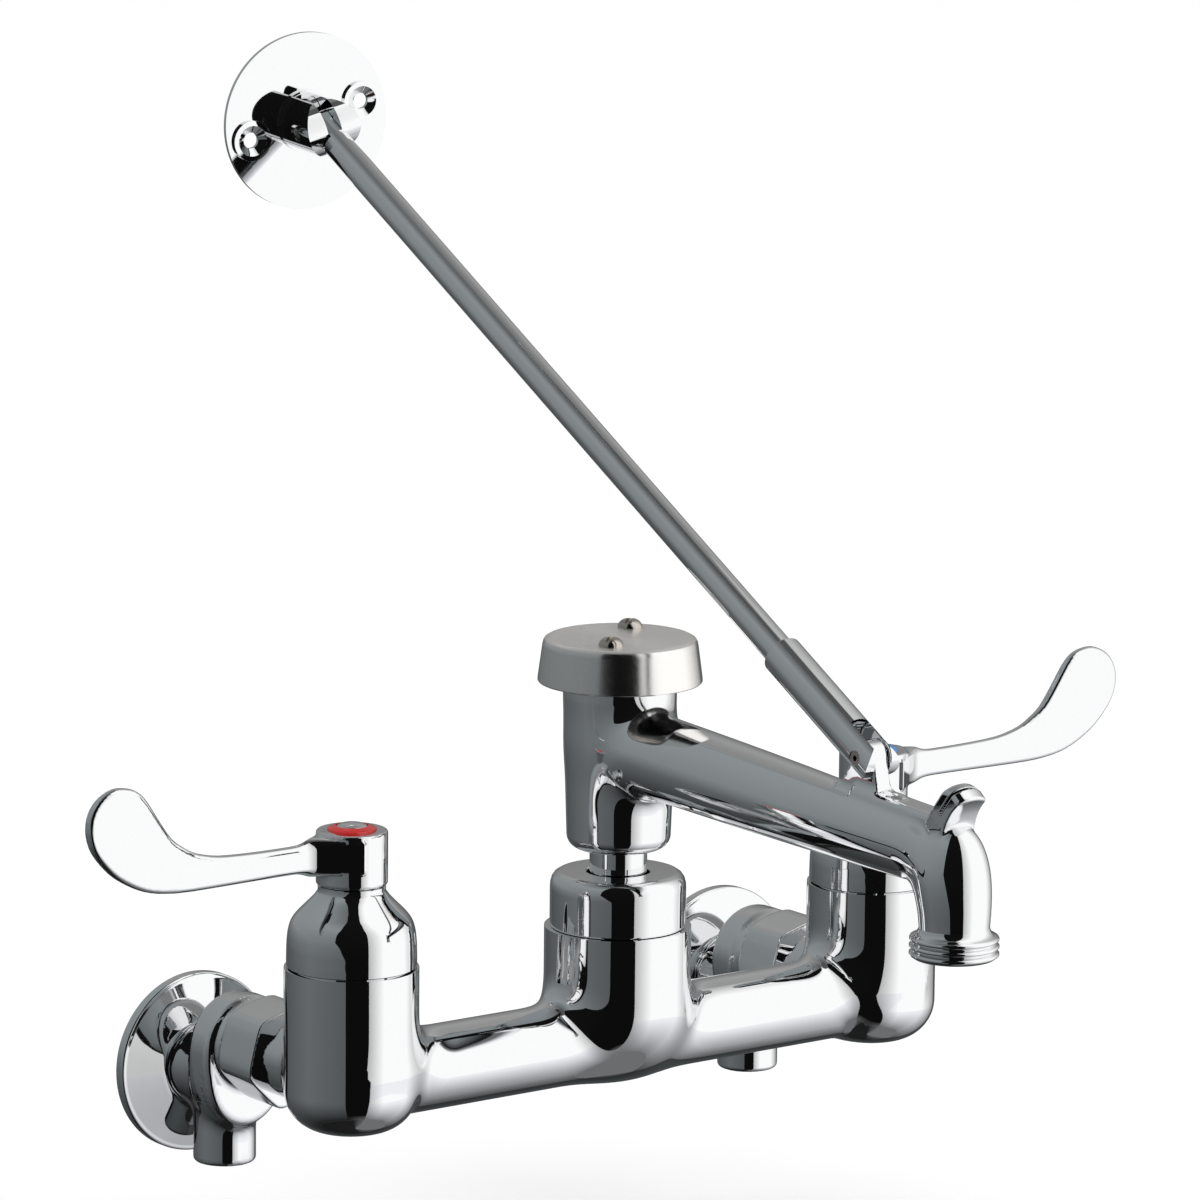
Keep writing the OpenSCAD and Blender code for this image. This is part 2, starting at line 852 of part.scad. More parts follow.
// Brushed cap over the vacuum breaker
module breaker_cap() {
    color("gainsboro")
        difference() {
            at_centre()
                translate([0, 0, cap_rim_z])
                    rotate_extrude($fn = fine_fn)
                        difference() {
                            polygon(concat([[0, 0], [cap_r, 0], [cap_r, cap_sheet]],
                                arc(cap_r - cap_taper - cap_sheet, cap_h - cap_sheet, cap_sheet, 0, 90, 6),
                                [[0, cap_h]]));
                            polygon([[-over, -over], [cap_r - cap_sheet, -over], [cap_r - cap_sheet, 0],
                                [cap_r - cap_taper - 2 * cap_sheet, cap_h - cap_top_t],
                                [-over, cap_h - cap_top_t]]);
                        }
            for (p = cap_screw_places())
                translate([p[0], p[1], tower_top_z - over])
                    cylinder(r = cap_screw_r, h = cap_top_t + 2 * over);
        }
}

// Two slotted dome-head screws, one group
module cap_screws() {
    head_r = 3.9;
    head_h = 2.3;
    dome_r = 4.6;
    slot_w = 1.1;
    slot_turn = 30;
    color("gainsboro")
        for (p = cap_screw_places())
            translate([p[0], p[1], cap_top_z])
                difference() {
                    union() {
                        intersection() {
                            cylinder(r = head_r, h = head_h);
                            translate([0, 0, head_h - dome_r])
                                sphere(r = dome_r);
                        }
                        translate([0, 0, -cap_screw_len])
                            cylinder(r = cap_screw_r, h = cap_screw_len + edge_soft);
                    }
                    rotate([0, 0, slot_turn])
                        translate([-head_r - over, -slot_w / 2, head_h - slot_w])
                            cube([2 * head_r + 2 * over, slot_w, head_h]);
                }
}

// Vent seat with a spoked guide for the poppet's stem
module breaker_seat() {
    color("goldenrod")
        at_centre()
            translate([0, 0, vent_z])
                difference() {
                    union() {
                        washer(breaker_bore_r, vent_bore_r, vent_h);
                        translate([0, 0, vent_h - vent_grate_h]) {
                            cylinder(r = vent_hub_r, h = vent_grate_h);
                            intersection() {
                                cylinder(r = breaker_bore_r - edge_soft, h = vent_grate_h);
                                for (i = [1 : spokes / 2])
                                    rotate([0, 0, 360 / spokes * i])
                                        translate([-breaker_bore_r, -spoke_w / 2, 0])
                                            cube([2 * breaker_bore_r, spoke_w, vent_grate_h]);
                            }
                        }
                    }
                    translate([0, 0, -over])
                        cylinder(r = poppet_stem_r + run_gap, h = vent_h + 2 * over);
                }
}

// Poppet: a spool with a guide stem that closes the vent when water lifts it
module breaker_poppet() {
    low_z = chamber_low_z + run_gap + poppet_seal_h;
    top_z = vent_z - run_gap - poppet_lift;
    color("ivory")
        at_centre() {
            translate([0, 0, low_z]) {
                cylinder(r = poppet_r, h = poppet_h);
                cylinder(r = poppet_waist_r, h = top_z - low_z);
                cylinder(r = poppet_stem_r, h = vent_z + vent_h + poppet_stem_gap - low_z);
            }
            translate([0, 0, top_z - poppet_top_h])
                cylinder(r = poppet_top_r, h = poppet_top_h);
        }
}

// Rubber face under the poppet
module poppet_seal() {
    color("dimgray")
        at_centre()
            translate([0, 0, chamber_low_z + run_gap])
                cylinder(r = poppet_r - edge_soft, h = poppet_seal_h);
}

// Hexagon nut that joins the arm to the casting
module union_nut(side) {
    corner_d = union_flats / cos(180 / hex_sides);
    color("silver")
        at_arm(side)
            difference() {
                translate([0, union_back_y, 0])
                    rotate([90, 0, 0])
                        rotate([0, 0, union_turn])
                            cylinder(d = corner_d, h = union_len, $fn = hex_sides);
                rod_y(union_thread_r, union_back_y - union_len - over, union_back_y - union_lip);
                rod_y(tail_r, union_back_y - union_len, union_back_y + over);
            }
}

// Fibre washers inside the union nuts
module union_washers() {
    color("tan")
        for (side = [-1, 1])
            at_arm(side)
                difference() {
                    rod_y(tail_flange_r, union_seat_y, union_seat_y + union_washer_h);
                    rod_y(inlet_bore_r, union_seat_y - over, union_seat_y + union_washer_h + over);
                }
}

// Cast supply arm: inlet shank, stop body, stop barrel and flanged tail
module supply_arm(side) {
    color("silver")
        difference() {
            union() {
                at_inlet(side) {
                    rod_y(arm_shank_r, stop_back_y - over, 0);
                    translate([0, barrel_y, 0])
                        rotate_extrude()
                            tower_profile(barrel_r, barrel_round, -barrel_depth, arm_rise);
                    translate([0, bulb_y, bulb_z])
                        sphere(r = bulb_r);
                }
                at_arm(side) {
                    translate([0, stop_back_y, 0])
                        rotate([90, 0, 0])
                            rotate_extrude($fn = fine_fn)
                                polygon(concat([[0, 0], [stop_r, 0]],
                                    arc(stop_r - stop_round, stop_body_t - stop_round, stop_round, 0, 90, 6),
                                    [[0, stop_body_t]]));
                    rod_y(tail_r, tail_end_y, stop_back_y);
                    rod_y(tail_flange_r, tail_end_y, tail_end_y + tail_flange_h);
                }
            }
            at_inlet(side) {
                rotate([90, 0, 0])
                    rotate_extrude($fn = fine_fn)
                        polygon([[0, -over], [inlet_thread_r, -over], [inlet_thread_r, inlet_thread_len],
                            [inlet_thread_r - inlet_end_step, inlet_thread_len + inlet_end_len],
                            [0, inlet_thread_len + inlet_end_len]]);
                translate([0, 0, side_port_z])
                    rod_y(side_port_r, barrel_y, over - inlet_thread_len);
                translate([0, barrel_y, -barrel_depth - over])
                    cylinder(r = barrel_bore_r, h = barrel_depth + over + stop_seat_z);
                translate([0, barrel_y, stop_seat_z - over])
                    cylinder(r = stop_seat_r, h = cross_port_z - stop_seat_z + over);
                translate([0, 0, cross_port_z])
                    rod_y(stop_seat_r, stop_back_y - stop_wall - over, barrel_y);
            }
            at_arm(side)
                rod_y(inlet_bore_r, tail_end_y - over, stop_back_y - stop_wall);
        }
}

// A point of the flange's dome: share 0 at the rim, share 1 at the shank
function dome_point(share, inset) =
    let (rim_r = flange_r - flange_rim_w - inset, top_r = arm_shank_r + flange_sheet)
    [rim_r + (top_r - rim_r) * share,
        flange_rim_h - inset + (flange_dome_h - flange_rim_h) * sin(90 * share)];

// Domed wall flange, a sheet shell
module flange(side) {
    color("silver")
        at_inlet(side)
            rotate([90, 0, 0])
                rotate_extrude($fn = fine_fn)
                    difference() {
                        polygon(concat([[arm_shank_r, 0], [flange_r, 0], [flange_r, flange_rim_h - edge_soft],
                            [flange_r - edge_soft, flange_rim_h]],
                            [for (i = [0 : flange_steps]) dome_point(i / flange_steps, 0)],
                            [[arm_shank_r, flange_dome_h]]));
                        polygon(concat([[arm_shank_r - over, -over], [flange_r - flange_sheet, -over],
                            [flange_r - flange_sheet, flange_rim_h - flange_sheet]],
                            [for (i = [0 : flange_steps]) dome_point(i / flange_steps, flange_sheet)],
                            [[arm_shank_r - over, flange_dome_h - flange_sheet]]));
                    }
}

// Brass gland that closes the stop barrel
module stop_gland(side) {
    color("goldenrod")
        at_inlet(side)
            translate([0, barrel_y, gland_inset - barrel_depth])
                washer(barrel_bore_r, spindle_r + run_gap, gland_len);
}

// Washer carrier that closes the stop's seat
module stop_carrier(side) {
    socket_h = spindle_pin_h + free_gap;
    color("dimgray")
        at_inlet(side)
            translate([0, barrel_y, carrier_z])
                difference() {
                    cylinder(r = carrier_r, h = carrier_h);
                    translate([0, 0, -over])
                        cylinder(r = spindle_pin_r + run_gap, h = socket_h + over);
                }
}

// Stop spindle with a screwdriver slot at the barrel's mouth
module stop_spindle(side) {
    low_z = spindle_inset - barrel_depth;
    color("goldenrod")
        at_inlet(side)
            translate([0, barrel_y, low_z])
                difference() {
                    union() {
                        cylinder(r = spindle_r, h = carrier_z - run_gap - low_z);
                        cylinder(r = spindle_pin_r, h = carrier_z + spindle_pin_h - low_z);
                    }
                    translate([-spindle_r - over, -spindle_slot_w / 2, -over])
                        cube([2 * spindle_r + 2 * over, spindle_slot_w, spindle_slot_depth + over]);
                }
}

// Sleeve with a forked lower end
module brace_sleeve() {
    ear_r = sleeve_d / 2;
    color("silver")
        at_brace()
            difference() {
                intersection() {
                    rotate([-90, 0, 0])
                        translate([0, 0, -ear_r])
                            rotate_extrude()
                                polygon([[0, 0], [ear_r, 0], [ear_r, sleeve_len + ear_r - sleeve_chamfer],
                                    [ear_r - sleeve_chamfer, sleeve_len + ear_r], [0, sleeve_len + ear_r]]);
                    union() {
                        rod_x(ear_r, -sleeve_d, sleeve_d);
                        translate([-sleeve_d, 0, -sleeve_d])
                            cube([2 * sleeve_d, sleeve_len + over, 2 * sleeve_d]);
                    }
                }
                translate([-fork_slot_w / 2, -sleeve_d, -sleeve_d])
                    cube([fork_slot_w, sleeve_d + fork_slot_len, 2 * sleeve_d]);
                rod_y(rod_d / 2 + run_gap, sleeve_len - sleeve_bore_depth, sleeve_len + over);
                rod_x(pin_r, -sleeve_d, sleeve_d);
            }
}

// Coiled spring pin through the fork and the lug
module sleeve_pin() {
    color("gray")
        translate(brace_foot)
            difference() {
                rod_x(pin_r, free_gap - sleeve_d / 2, sleeve_d / 2 - free_gap);
                rod_x(sleeve_pin_bore_r, -sleeve_d, sleeve_d);
            }
}

// Rod with a flat tongue at the wall end
module brace_rod() {
    color("silver")
        at_brace()
            rotate([0, -rod_twist, 0])
                difference() {
                    union() {
                        rod_y(rod_d / 2, sleeve_len - rod_insert, brace_length);
                        translate([0, brace_length, 0])
                            rod_x(rod_d / 2, -tongue_t / 2, tongue_t / 2);
                    }
                    for (turn = [0, 180])
                        rotate([0, turn, 0])
                            translate([tongue_t / 2, brace_length - tongue_len, -rod_d])
                                cube([rod_d, tongue_len + rod_d, 2 * rod_d]);
                    translate([0, brace_length, 0])
                        rod_x(bracket_pin_r + run_gap, -rod_d, rod_d);
                }
}

// Round wall plate with a slotted boss
module wall_bracket() {
    color("gainsboro")
        at_bracket()
            difference() {
                union() {
                    rod_y(plate_r, pin_to_plate, pin_to_plate + plate_t);
                    rod_y(boss_root_r, pin_to_plate - boss_root_h, pin_to_plate + plate_t / 2);
                    intersection() {
                        rod_y(boss_r, -2 * boss_r, pin_to_plate + plate_t / 2);
                        union() {
                            rod_x(boss_r, -boss_r - over, boss_r + over);
                            rod_y(2 * boss_r, 0, 2 * boss_r);
                        }
                    }
                    for (end = [-1, 1])
                        translate([end * plate_hole_spacing / 2, pin_to_plate + plate_t / 2, 0])
                            rotate([90, 0, 0])
                                cylinder(r = hole_dish_r, h = hole_dish_h + plate_t / 2);
                }
                translate([-boss_slot_w / 2, -2 * boss_r, -2 * boss_r])
                    cube([boss_slot_w, 2 * boss_r + pin_to_plate - plate_t, 4 * boss_r]);
                rod_x(bracket_pin_r, -2 * boss_r, 2 * boss_r);
                for (end = [-1, 1])
                    translate([end * plate_hole_spacing / 2, 0, 0]) {
                        rod_y(plate_hole_r, 0, 2 * pin_to_plate);
                        translate([0, pin_to_plate - hole_dish_h, 0])
                            rotate([-90, 0, 0])
                                cylinder(r1 = countersink_r, r2 = plate_hole_r, h = countersink_depth);
                    }
            }
}

// Cross pin through the boss and the tongue
module bracket_pin() {
    color("gray")
        at_bracket()
            rod_x(bracket_pin_r, free_gap - boss_r, boss_r - free_gap);
}

body_casting();
bonnet(-1);  // left_bonnet
bonnet(1);  // right_bonnet
cartridge_body(-1);  // left_cartridge_body
cartridge_body(1);  // right_cartridge_body
ceramic_disc(-1, fixed_disc_z, 0);  // left_fixed_disc
ceramic_disc(1, fixed_disc_z, 0);  // right_fixed_disc
ceramic_disc(-1, turning_disc_z, 90);  // left_turning_disc
ceramic_disc(1, turning_disc_z, 90);  // right_turning_disc
stem(-1);  // left_stem
stem(1);  // right_stem
handle(-1);  // left_handle
handle(1);  // right_handle
index_ring(-1, "red");  // left_index_ring
index_ring(1, "dodgerblue");  // right_index_ring
handle_screw(-1);  // left_handle_screw
handle_screw(1);  // right_handle_screw
seat_seals();
spout_nut();
shank();
shank_ring();
shank_seals();
spout_casting();
breaker_cap();
cap_screws();
breaker_seat();
breaker_poppet();
poppet_seal();
union_nut(-1);  // left_union_nut
union_nut(1);  // right_union_nut
union_washers();
supply_arm(-1);  // left_supply_arm
supply_arm(1);  // right_supply_arm
flange(-1);  // left_flange
flange(1);  // right_flange
stop_gland(-1);  // left_stop_gland
stop_gland(1);  // right_stop_gland
stop_spindle(-1);  // left_stop_spindle
stop_spindle(1);  // right_stop_spindle
stop_carrier(-1);  // left_stop_carrier
stop_carrier(1);  // right_stop_carrier
brace_sleeve();
sleeve_pin();
brace_rod();
wall_bracket();
bracket_pin();
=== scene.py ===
import math

import bmesh
import bpy
import numpy as np
from mathutils import Matrix, Vector


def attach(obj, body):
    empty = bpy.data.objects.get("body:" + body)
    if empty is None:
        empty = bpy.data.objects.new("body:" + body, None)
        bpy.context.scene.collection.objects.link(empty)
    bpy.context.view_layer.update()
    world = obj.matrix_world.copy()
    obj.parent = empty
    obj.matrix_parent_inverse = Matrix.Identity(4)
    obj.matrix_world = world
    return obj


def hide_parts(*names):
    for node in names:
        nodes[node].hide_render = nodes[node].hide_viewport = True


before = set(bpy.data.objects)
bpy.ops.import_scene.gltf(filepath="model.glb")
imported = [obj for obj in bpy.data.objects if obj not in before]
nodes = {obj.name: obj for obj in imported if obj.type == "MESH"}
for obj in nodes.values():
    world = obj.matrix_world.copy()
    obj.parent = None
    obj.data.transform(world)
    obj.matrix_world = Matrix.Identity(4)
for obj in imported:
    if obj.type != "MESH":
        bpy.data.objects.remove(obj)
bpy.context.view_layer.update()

# Body casting: two valve towers, the bridge and the centre tower, one hollow brass casting that is
# ground, polished and chrome plated. The two union nuts behind it carry it on the supply arms.
MM = 0.001
VALVE_X, VALVE_Y = 101.6, -85.0
SEAM_Z, NUT_FOOT_Z = 47.0, 46.3
TOWER_R, TOWER_ROUND, TOWER_FOOT_Z = 20.8, 13.0, -4.4
BRIDGE_R, BRIDGE_Z = 13.1, 10.8
CENTRE_R, CENTRE_ROUND, CENTRE_FOOT_Z = 23.1, 22.3, -0.5
COLLAR_R, ARM_Z, COLLAR_END_Y = 12.6, 11.5, -53.0
TOWER_FILLET, TOWER_FOOT_FILLET, CENTRE_FILLET, COLLAR_FILLET = 14, 3, 14, 6
FILLET_TOP_Z, FILLET_FADE = 14.8, 12


def blend_of(a, b, reach):
    """Two distances joined as by a cast fillet that starts where they differ by reach."""
    near = np.clip(reach - np.abs(a - b), 0, None) / reach
    return np.minimum(a, b) - near ** 3 * reach / 6


def eased_corner(u, v, radius):
    """Distance of a corner between the sides u and v, both below zero inside, rounded by radius."""
    u, v = u + radius, v + radius
    return np.minimum(np.maximum(u, v), 0) + np.hypot(np.maximum(u, 0), np.maximum(v, 0)) - radius


def even(low, high, cell):
    """Grid lines from the low corner to the high one."""
    return [np.arange(a, b + cell, cell) for a, b in zip(low, high)]


def skin_of(shape, axes):
    """Vertices and quads of the surface on which shape() is zero, found in the cells of a grid."""
    grid = np.stack(np.meshgrid(*axes, indexing="ij"), -1)
    value = shape(grid.reshape(-1, 3)).reshape(grid.shape[:3])
    size = np.array(value.shape) - 1
    total, hits = np.zeros((*size, 3)), np.zeros(size)

    def corner(shift):
        return value[tuple(slice(s, s + n) for s, n in zip(shift, size))]

    for axis in range(3):
        for k in range(4):
            shift = [0, 0, 0]
            shift[(axis + 1) % 3], shift[(axis + 2) % 3] = k % 2, k // 2
            end = list(shift)
            end[axis] = 1
            a, b = corner(shift), corner(end)
            crossed = (a < 0) != (b < 0)
            place = np.zeros((*size, 3)) + shift
            place[..., axis] = np.where(crossed, a / np.where(crossed, a - b, 1), 0)
            total += place * crossed[..., None]
            hits += crossed
    live = hits > 0
    number = np.full(size, -1)
    number[live] = np.arange(live.sum())
    at, share = np.argwhere(live), total[live] / hits[live][:, None]
    points = np.stack([a[i] + f * (a[i + 1] - a[i]) for a, i, f in zip(axes, at.T, share.T)], 1)
    quads = []
    for axis in range(3):
        u, v = (axis + 1) % 3, (axis + 2) % 3
        first, second = np.delete(value, -1, axis), np.delete(value, 0, axis)
        for crossed, turn in ((first < 0) & (second >= 0), 1), ((first >= 0) & (second < 0), -1):
            at = np.argwhere(crossed)
            at = at[(at[:, u] > 0) & (at[:, v] > 0) & (at[:, u] < size[u]) & (at[:, v] < size[v])]
            around = []
            for du, dv in ((0, 0), (1, 0), (1, 1), (0, 1)):
                step = at.copy()
                step[:, u] -= du
                step[:, v] -= dv
                around.append(number[tuple(step.T)])
            quads.append(np.stack(around, 1)[:, ::turn])
    return points, np.concatenate(quads)


def slope_of(shape, points, step=0.02):
    """Direction in which shape() grows fastest at each point."""
    found = np.zeros_like(points)
    for axis in range(3):
        shift = np.zeros(3)
        shift[axis] = step
        found[:, axis] = (shape(points + shift) - shape(points - shift)) / (2 * step)
    return found


def shown(name, data):
    """A new object in the scene with this mesh, lamp or lens."""
    made = bpy.data.objects.new(name, data)
    bpy.context.scene.collection.objects.link(made)
    return made


def cast(name, shape, axes, cuts=()):
    """A smooth casting from its distance function in millimetres, cut off square at each of cuts."""
    points, quads = skin_of(shape, axes)
    cell = min(np.diff(a).min() for a in axes)
    for _ in range(4):
        slope = slope_of(shape, points)
        square = np.maximum((slope ** 2).sum(1), 0.05)
        points -= np.clip(shape(points) / square, -cell, cell)[:, None] * slope
    mesh = bpy.data.meshes.new(name)
    mesh.from_pydata(points.tolist(), [], quads.tolist())
    bm = bmesh.new()
    bm.from_mesh(mesh)
    flat = bm.faces.layers.int.new("flat")
    for place, away, wanted in cuts:
        faces = [f for f in bm.faces if wanted(f.calc_center_median())]
        edges = {e for f in faces for e in f.edges}
        verts = {v for f in faces for v in f.verts}
        cut = bmesh.ops.bisect_plane(bm, geom=[*faces, *edges, *verts], plane_co=place, plane_no=away,
                                     clear_outer=True)
        rim = [e for e in cut["geom_cut"] if isinstance(e, bmesh.types.BMEdge) and e.is_boundary]
        for face in bmesh.ops.edgeloop_fill(bm, edges=rim)["faces"]:
            face[flat] = 1
            face.normal_update()
            if face.normal.dot(Vector(away)) < 0:
                face.normal_flip()
    bmesh.ops.delete(bm, geom=[v for v in bm.verts if not v.link_faces], context="VERTS")
    bm.to_mesh(mesh)
    bm.free()
    count = len(mesh.vertices)
    points = np.zeros(count * 3)
    mesh.vertices.foreach_get("co", points)
    points = points.reshape(-1, 3)
    slope = slope_of(shape, points)
    slope /= np.linalg.norm(slope, axis=1)[:, None]
    corners = np.zeros(len(mesh.loops), int)
    mesh.loops.foreach_get("vertex_index", corners)
    normals = slope[corners]
    for face in mesh.polygons:
        if mesh.attributes["flat"].data[face.index].value:
            normals[face.loop_indices] = face.normal
    mesh.attributes.remove(mesh.attributes["flat"])
    mesh.vertices.foreach_set("co", (points * MM).ravel())
    mesh.polygons.foreach_set("use_smooth", [True] * len(mesh.polygons))
    mesh.normals_split_custom_set(normals.tolist())
    mesh.update()
    return shown(name, mesh)


def join(tree, *pairs):
    """Links each output socket to the input socket beside it."""
    for source, target in pairs:
        tree.links.new(source, target)


def blank_material(name):
    """A new material with its node tree and its surface shader."""
    material = bpy.data.materials.new(name)
    material.use_nodes = True
    return material, material.node_tree, material.node_tree.nodes["Principled BSDF"]


def metal(name, colour, roughness, wave=0.006, wave_scale=45, grain_scale=900):
    """Plated or machined metal: faint waviness from polishing, and haze and tint that vary slightly."""
    material, tree, shader = blank_material(name)
    place = tree.nodes.new("ShaderNodeTexCoord")
    haze = tree.nodes.new("ShaderNodeTexNoise")
    haze.inputs["Scale"].default_value = grain_scale
    haze.inputs["Detail"].default_value = 3
    spread = tree.nodes.new("ShaderNodeMapRange")
    spread.inputs["To Min"].default_value = roughness * 0.7
    spread.inputs["To Max"].default_value = roughness * 1.3
    tint = tree.nodes.new("ShaderNodeValToRGB")
    tint.color_ramp.elements[0].color = (*[c * 0.97 for c in colour], 1)
    tint.color_ramp.elements[1].color = (*colour, 1)
    swell = tree.nodes.new("ShaderNodeTexNoise")
    swell.inputs["Scale"].default_value = wave_scale
    swell.inputs["Detail"].default_value = 1
    bump = tree.nodes.new("ShaderNodeBump")
    bump.inputs["Strength"].default_value = wave
    bump.inputs["Distance"].default_value = 0.01
    shader.inputs["Metallic"].default_value = 1
    join(tree,
         (place.outputs["Object"], haze.inputs["Vector"]),
         (place.outputs["Object"], swell.inputs["Vector"]),
         (haze.outputs["Fac"], spread.inputs["Value"]),
         (haze.outputs["Fac"], tint.inputs["Fac"]),
         (spread.outputs["Result"], shader.inputs["Roughness"]),
         (tint.outputs["Color"], shader.inputs["Base Color"]),
         (swell.outputs["Fac"], bump.inputs["Height"]),
         (bump.outputs["Normal"], shader.inputs["Normal"]))
    return material


def finish_with(piece, material, body, replaced=()):
    """Gives a piece its material and body, and hides the CAD nodes that it stands for."""
    piece.data.materials.clear()
    piece.data.materials.append(material)
    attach(piece, body)
    if replaced:
        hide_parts(*replaced)


chrome = metal("polished_chrome", (0.9, 0.905, 0.91), 0.03)


def body_shape(p):
    """The body casting with its fillets. The bridge's fillets fade towards the feet of the towers."""
    x, y, z = p.T
    side = np.abs(x)
    towers = eased_corner(np.hypot(side - VALVE_X, y - VALVE_Y) - TOWER_R, TOWER_FOOT_Z - z, TOWER_ROUND)
    centre = eased_corner(np.hypot(x, y - VALVE_Y) - CENTRE_R, CENTRE_FOOT_Z - z, CENTRE_ROUND)
    bridge = np.maximum(np.hypot(y - VALVE_Y, z - BRIDGE_Z) - BRIDGE_R, side - VALVE_X)
    collars = np.maximum(np.hypot(side - VALVE_X, z - ARM_Z) - COLLAR_R, VALVE_Y - y)
    low = np.clip((FILLET_TOP_Z - z) / FILLET_FADE, 0, 1)
    fillet = TOWER_FILLET + (TOWER_FOOT_FILLET - TOWER_FILLET) * low
    solid = blend_of(blend_of(towers, bridge, fillet), centre, CENTRE_FILLET)
    return blend_of(solid, collars, COLLAR_FILLET)


body = cast("body_skin", body_shape, even((-126, -111, -7), (126, -50, 50), 1.1), cuts=(
    ((0, 0, SEAM_Z), (0, 0, 1), lambda c: abs(c.x) > VALVE_X / 2),
    ((0, 0, NUT_FOOT_Z), (0, 0, 1), lambda c: abs(c.x) < VALVE_X / 2),
    ((0, COLLAR_END_Y, 0), (0, 1, 0), lambda c: c.y > VALVE_Y + TOWER_R),
))
finish_with(body, chrome, "fixture", ["body_casting"])

# Bonnets: bottle-shaped brass shells, turned and chromed, screwed into the valve towers over the
# cartridges. Each shows a fine seam at the tower and a short collar under its handle.
BONNET_GROOVE = [(0, 0), (18.4, 0), (18.4, 0.35), (19.8, 0.35)]
BONNET_FLANK = [(20.1, 0.6), (20.1, 2.5), (20.05, 5), (19.95, 8.2), (19.55, 11.6), (18.7, 14.4),
                (17.2, 16.6), (15.2, 18.7), (13.3, 20.6), (11.7, 22.3), (10.75, 23.6)]
BONNET_COLLAR = [(10.45, 24.2), (10.5, 25.6), (10.2, 25.8), (0, 25.8)]


def smooth_line(points, steps=5):
    """Points along a smooth curve through the given ones."""
    p = np.array(points, float)
    ends = np.vstack([2 * p[0] - p[1], p, 2 * p[-1] - p[-2]])
    line = []
    for a, b, c, d in zip(ends, ends[1:], ends[2:], ends[3:]):
        for t in np.arange(steps) / steps:
            line.append((2 * b + (c - a) * t + (2 * a - 5 * b + 4 * c - d) * t ** 2
                         + (3 * b - a - 3 * c + d) * t ** 3) / 2)
    return [*line, p[-1]]


def turned(name, profile, centre, along="Z", steps=144, split=30):
    """A piece turned on a lathe: profile gives radius and height in millimetres, with the outer side
    to the right of its direction. Edges sharper than split degrees stay crisp."""
    line = np.array(profile, float)
    run = np.diff(line, axis=0)
    length = np.hypot(*run.T)
    line, run = np.vstack([line[:1], line[1:][length > 1e-6]]), run[length > 1e-6]
    length = length[length > 1e-6]
    facing = np.stack([run[:, 1], -run[:, 0]], 1) / length[:, None]
    start, end = facing.copy(), facing.copy()
    for k in range(len(run) - 1):
        if facing[k] @ facing[k + 1] > math.cos(math.radians(split)):
            mean = facing[k] * length[k] + facing[k + 1] * length[k + 1]
            end[k] = start[k + 1] = mean / np.hypot(*mean)
    angle = np.arange(steps) * 2 * math.pi / steps
    cos, sin = np.cos(angle), np.sin(angle)
    points, rings = [], []
    for r, h in line:
        rings.append(len(points) + (np.arange(steps) if r > 1e-6 else np.zeros(steps, int)))
        points += [(r * c, r * s, h) for c, s in zip(cos, sin)] if r > 1e-6 else [(0, 0, h)]
    faces, normals = [], []
    for k in range(len(run)):
        for i in range(steps):
            j = (i + 1) % steps
            loop = [(rings[k][i], start[k], i), (rings[k][j], start[k], j),
                    (rings[k + 1][j], end[k], j), (rings[k + 1][i], end[k], i)]
            kept = [c for n, c in enumerate(loop) if c[0] != loop[n - 1][0]]
            faces.append([int(c[0]) for c in kept])
            normals += [(c[1][0] * cos[c[2]], c[1][0] * sin[c[2]], c[1][1]) for c in kept]
    mesh = bpy.data.meshes.new(name)
    mesh.from_pydata(points, [], faces)
    turn = {"Z": Matrix.Identity(4), "-Y": Matrix.Rotation(math.pi / 2, 4, "X")}[along]
    mesh.transform(Matrix.Scale(MM, 4) @ Matrix.Translation(centre) @ turn)
    mesh.polygons.foreach_set("use_smooth", [True] * len(faces))
    mesh.normals_split_custom_set([turn.to_3x3() @ Vector(n) for n in normals])
    mesh.update()
    return shown(name, mesh)


SIDES = ("left", -1), ("right", 1)
for side, sign in SIDES:
    shell = turned(f"{side}_bonnet_skin", BONNET_GROOVE + smooth_line(BONNET_FLANK) + BONNET_COLLAR,
                   (sign * VALVE_X, VALVE_Y, SEAM_Z))
    finish_with(shell, chrome, "fixture", [f"{side}_bonnet"])

# Wrist-blade handles: forged brass, polished and chromed. A round hub sits on the stem's socket, and
# the flat blade tapers out of it with soft edges and widens to a leaf that the wrist pushes. Both
# blades are swept a little towards the user.
HUB_R, HUB_Z, HUB_TOP_Z, HUB_EASE = 11.05, 73.1, 89.9, 0.7
BLADE_HALF, BLADE_EDGE, BLADE_FILLET, SWEEP = 1.85, 1.55, 5, math.radians(1.4)
ROOT_PLACE, ROOT_R, ROOT_LOW_Z, ROOT_HIGH_Z, ROOT_EASE = 14.8, 1.7, 77.6, 88.8, 1.5
BLADE_OUTLINE = [(4, 87.6), (14, 87.5), (24, 87.5), (34, 87.6), (43, 87.9), (50, 88.4), (55, 89.4),
                 (59.5, 90.8), (64, 93.4), (67.6, 96.2), (70.7, 100.2), (73.3, 104), (75.7, 107.6),
                 (78.1, 110.6), (80.9, 112.7), (84.6, 113.8), (88.4, 113.9), (91.8, 112.7), (94.6, 110.8),
                 (96.5, 108.4), (97.6, 105.8), (98, 103.1), (97.9, 100.7), (97.3, 98.2), (96.4, 95.9),
                 (94.8, 93.4), (92.6, 90.8), (90, 88.2), (87.2, 86), (83.4, 83.7), (79.5, 81.8), (75, 80.3),
                 (69, 79.3), (61, 78.8), (46, 78.8), (30, 78.9), (18, 78.8), (4, 78.4)]


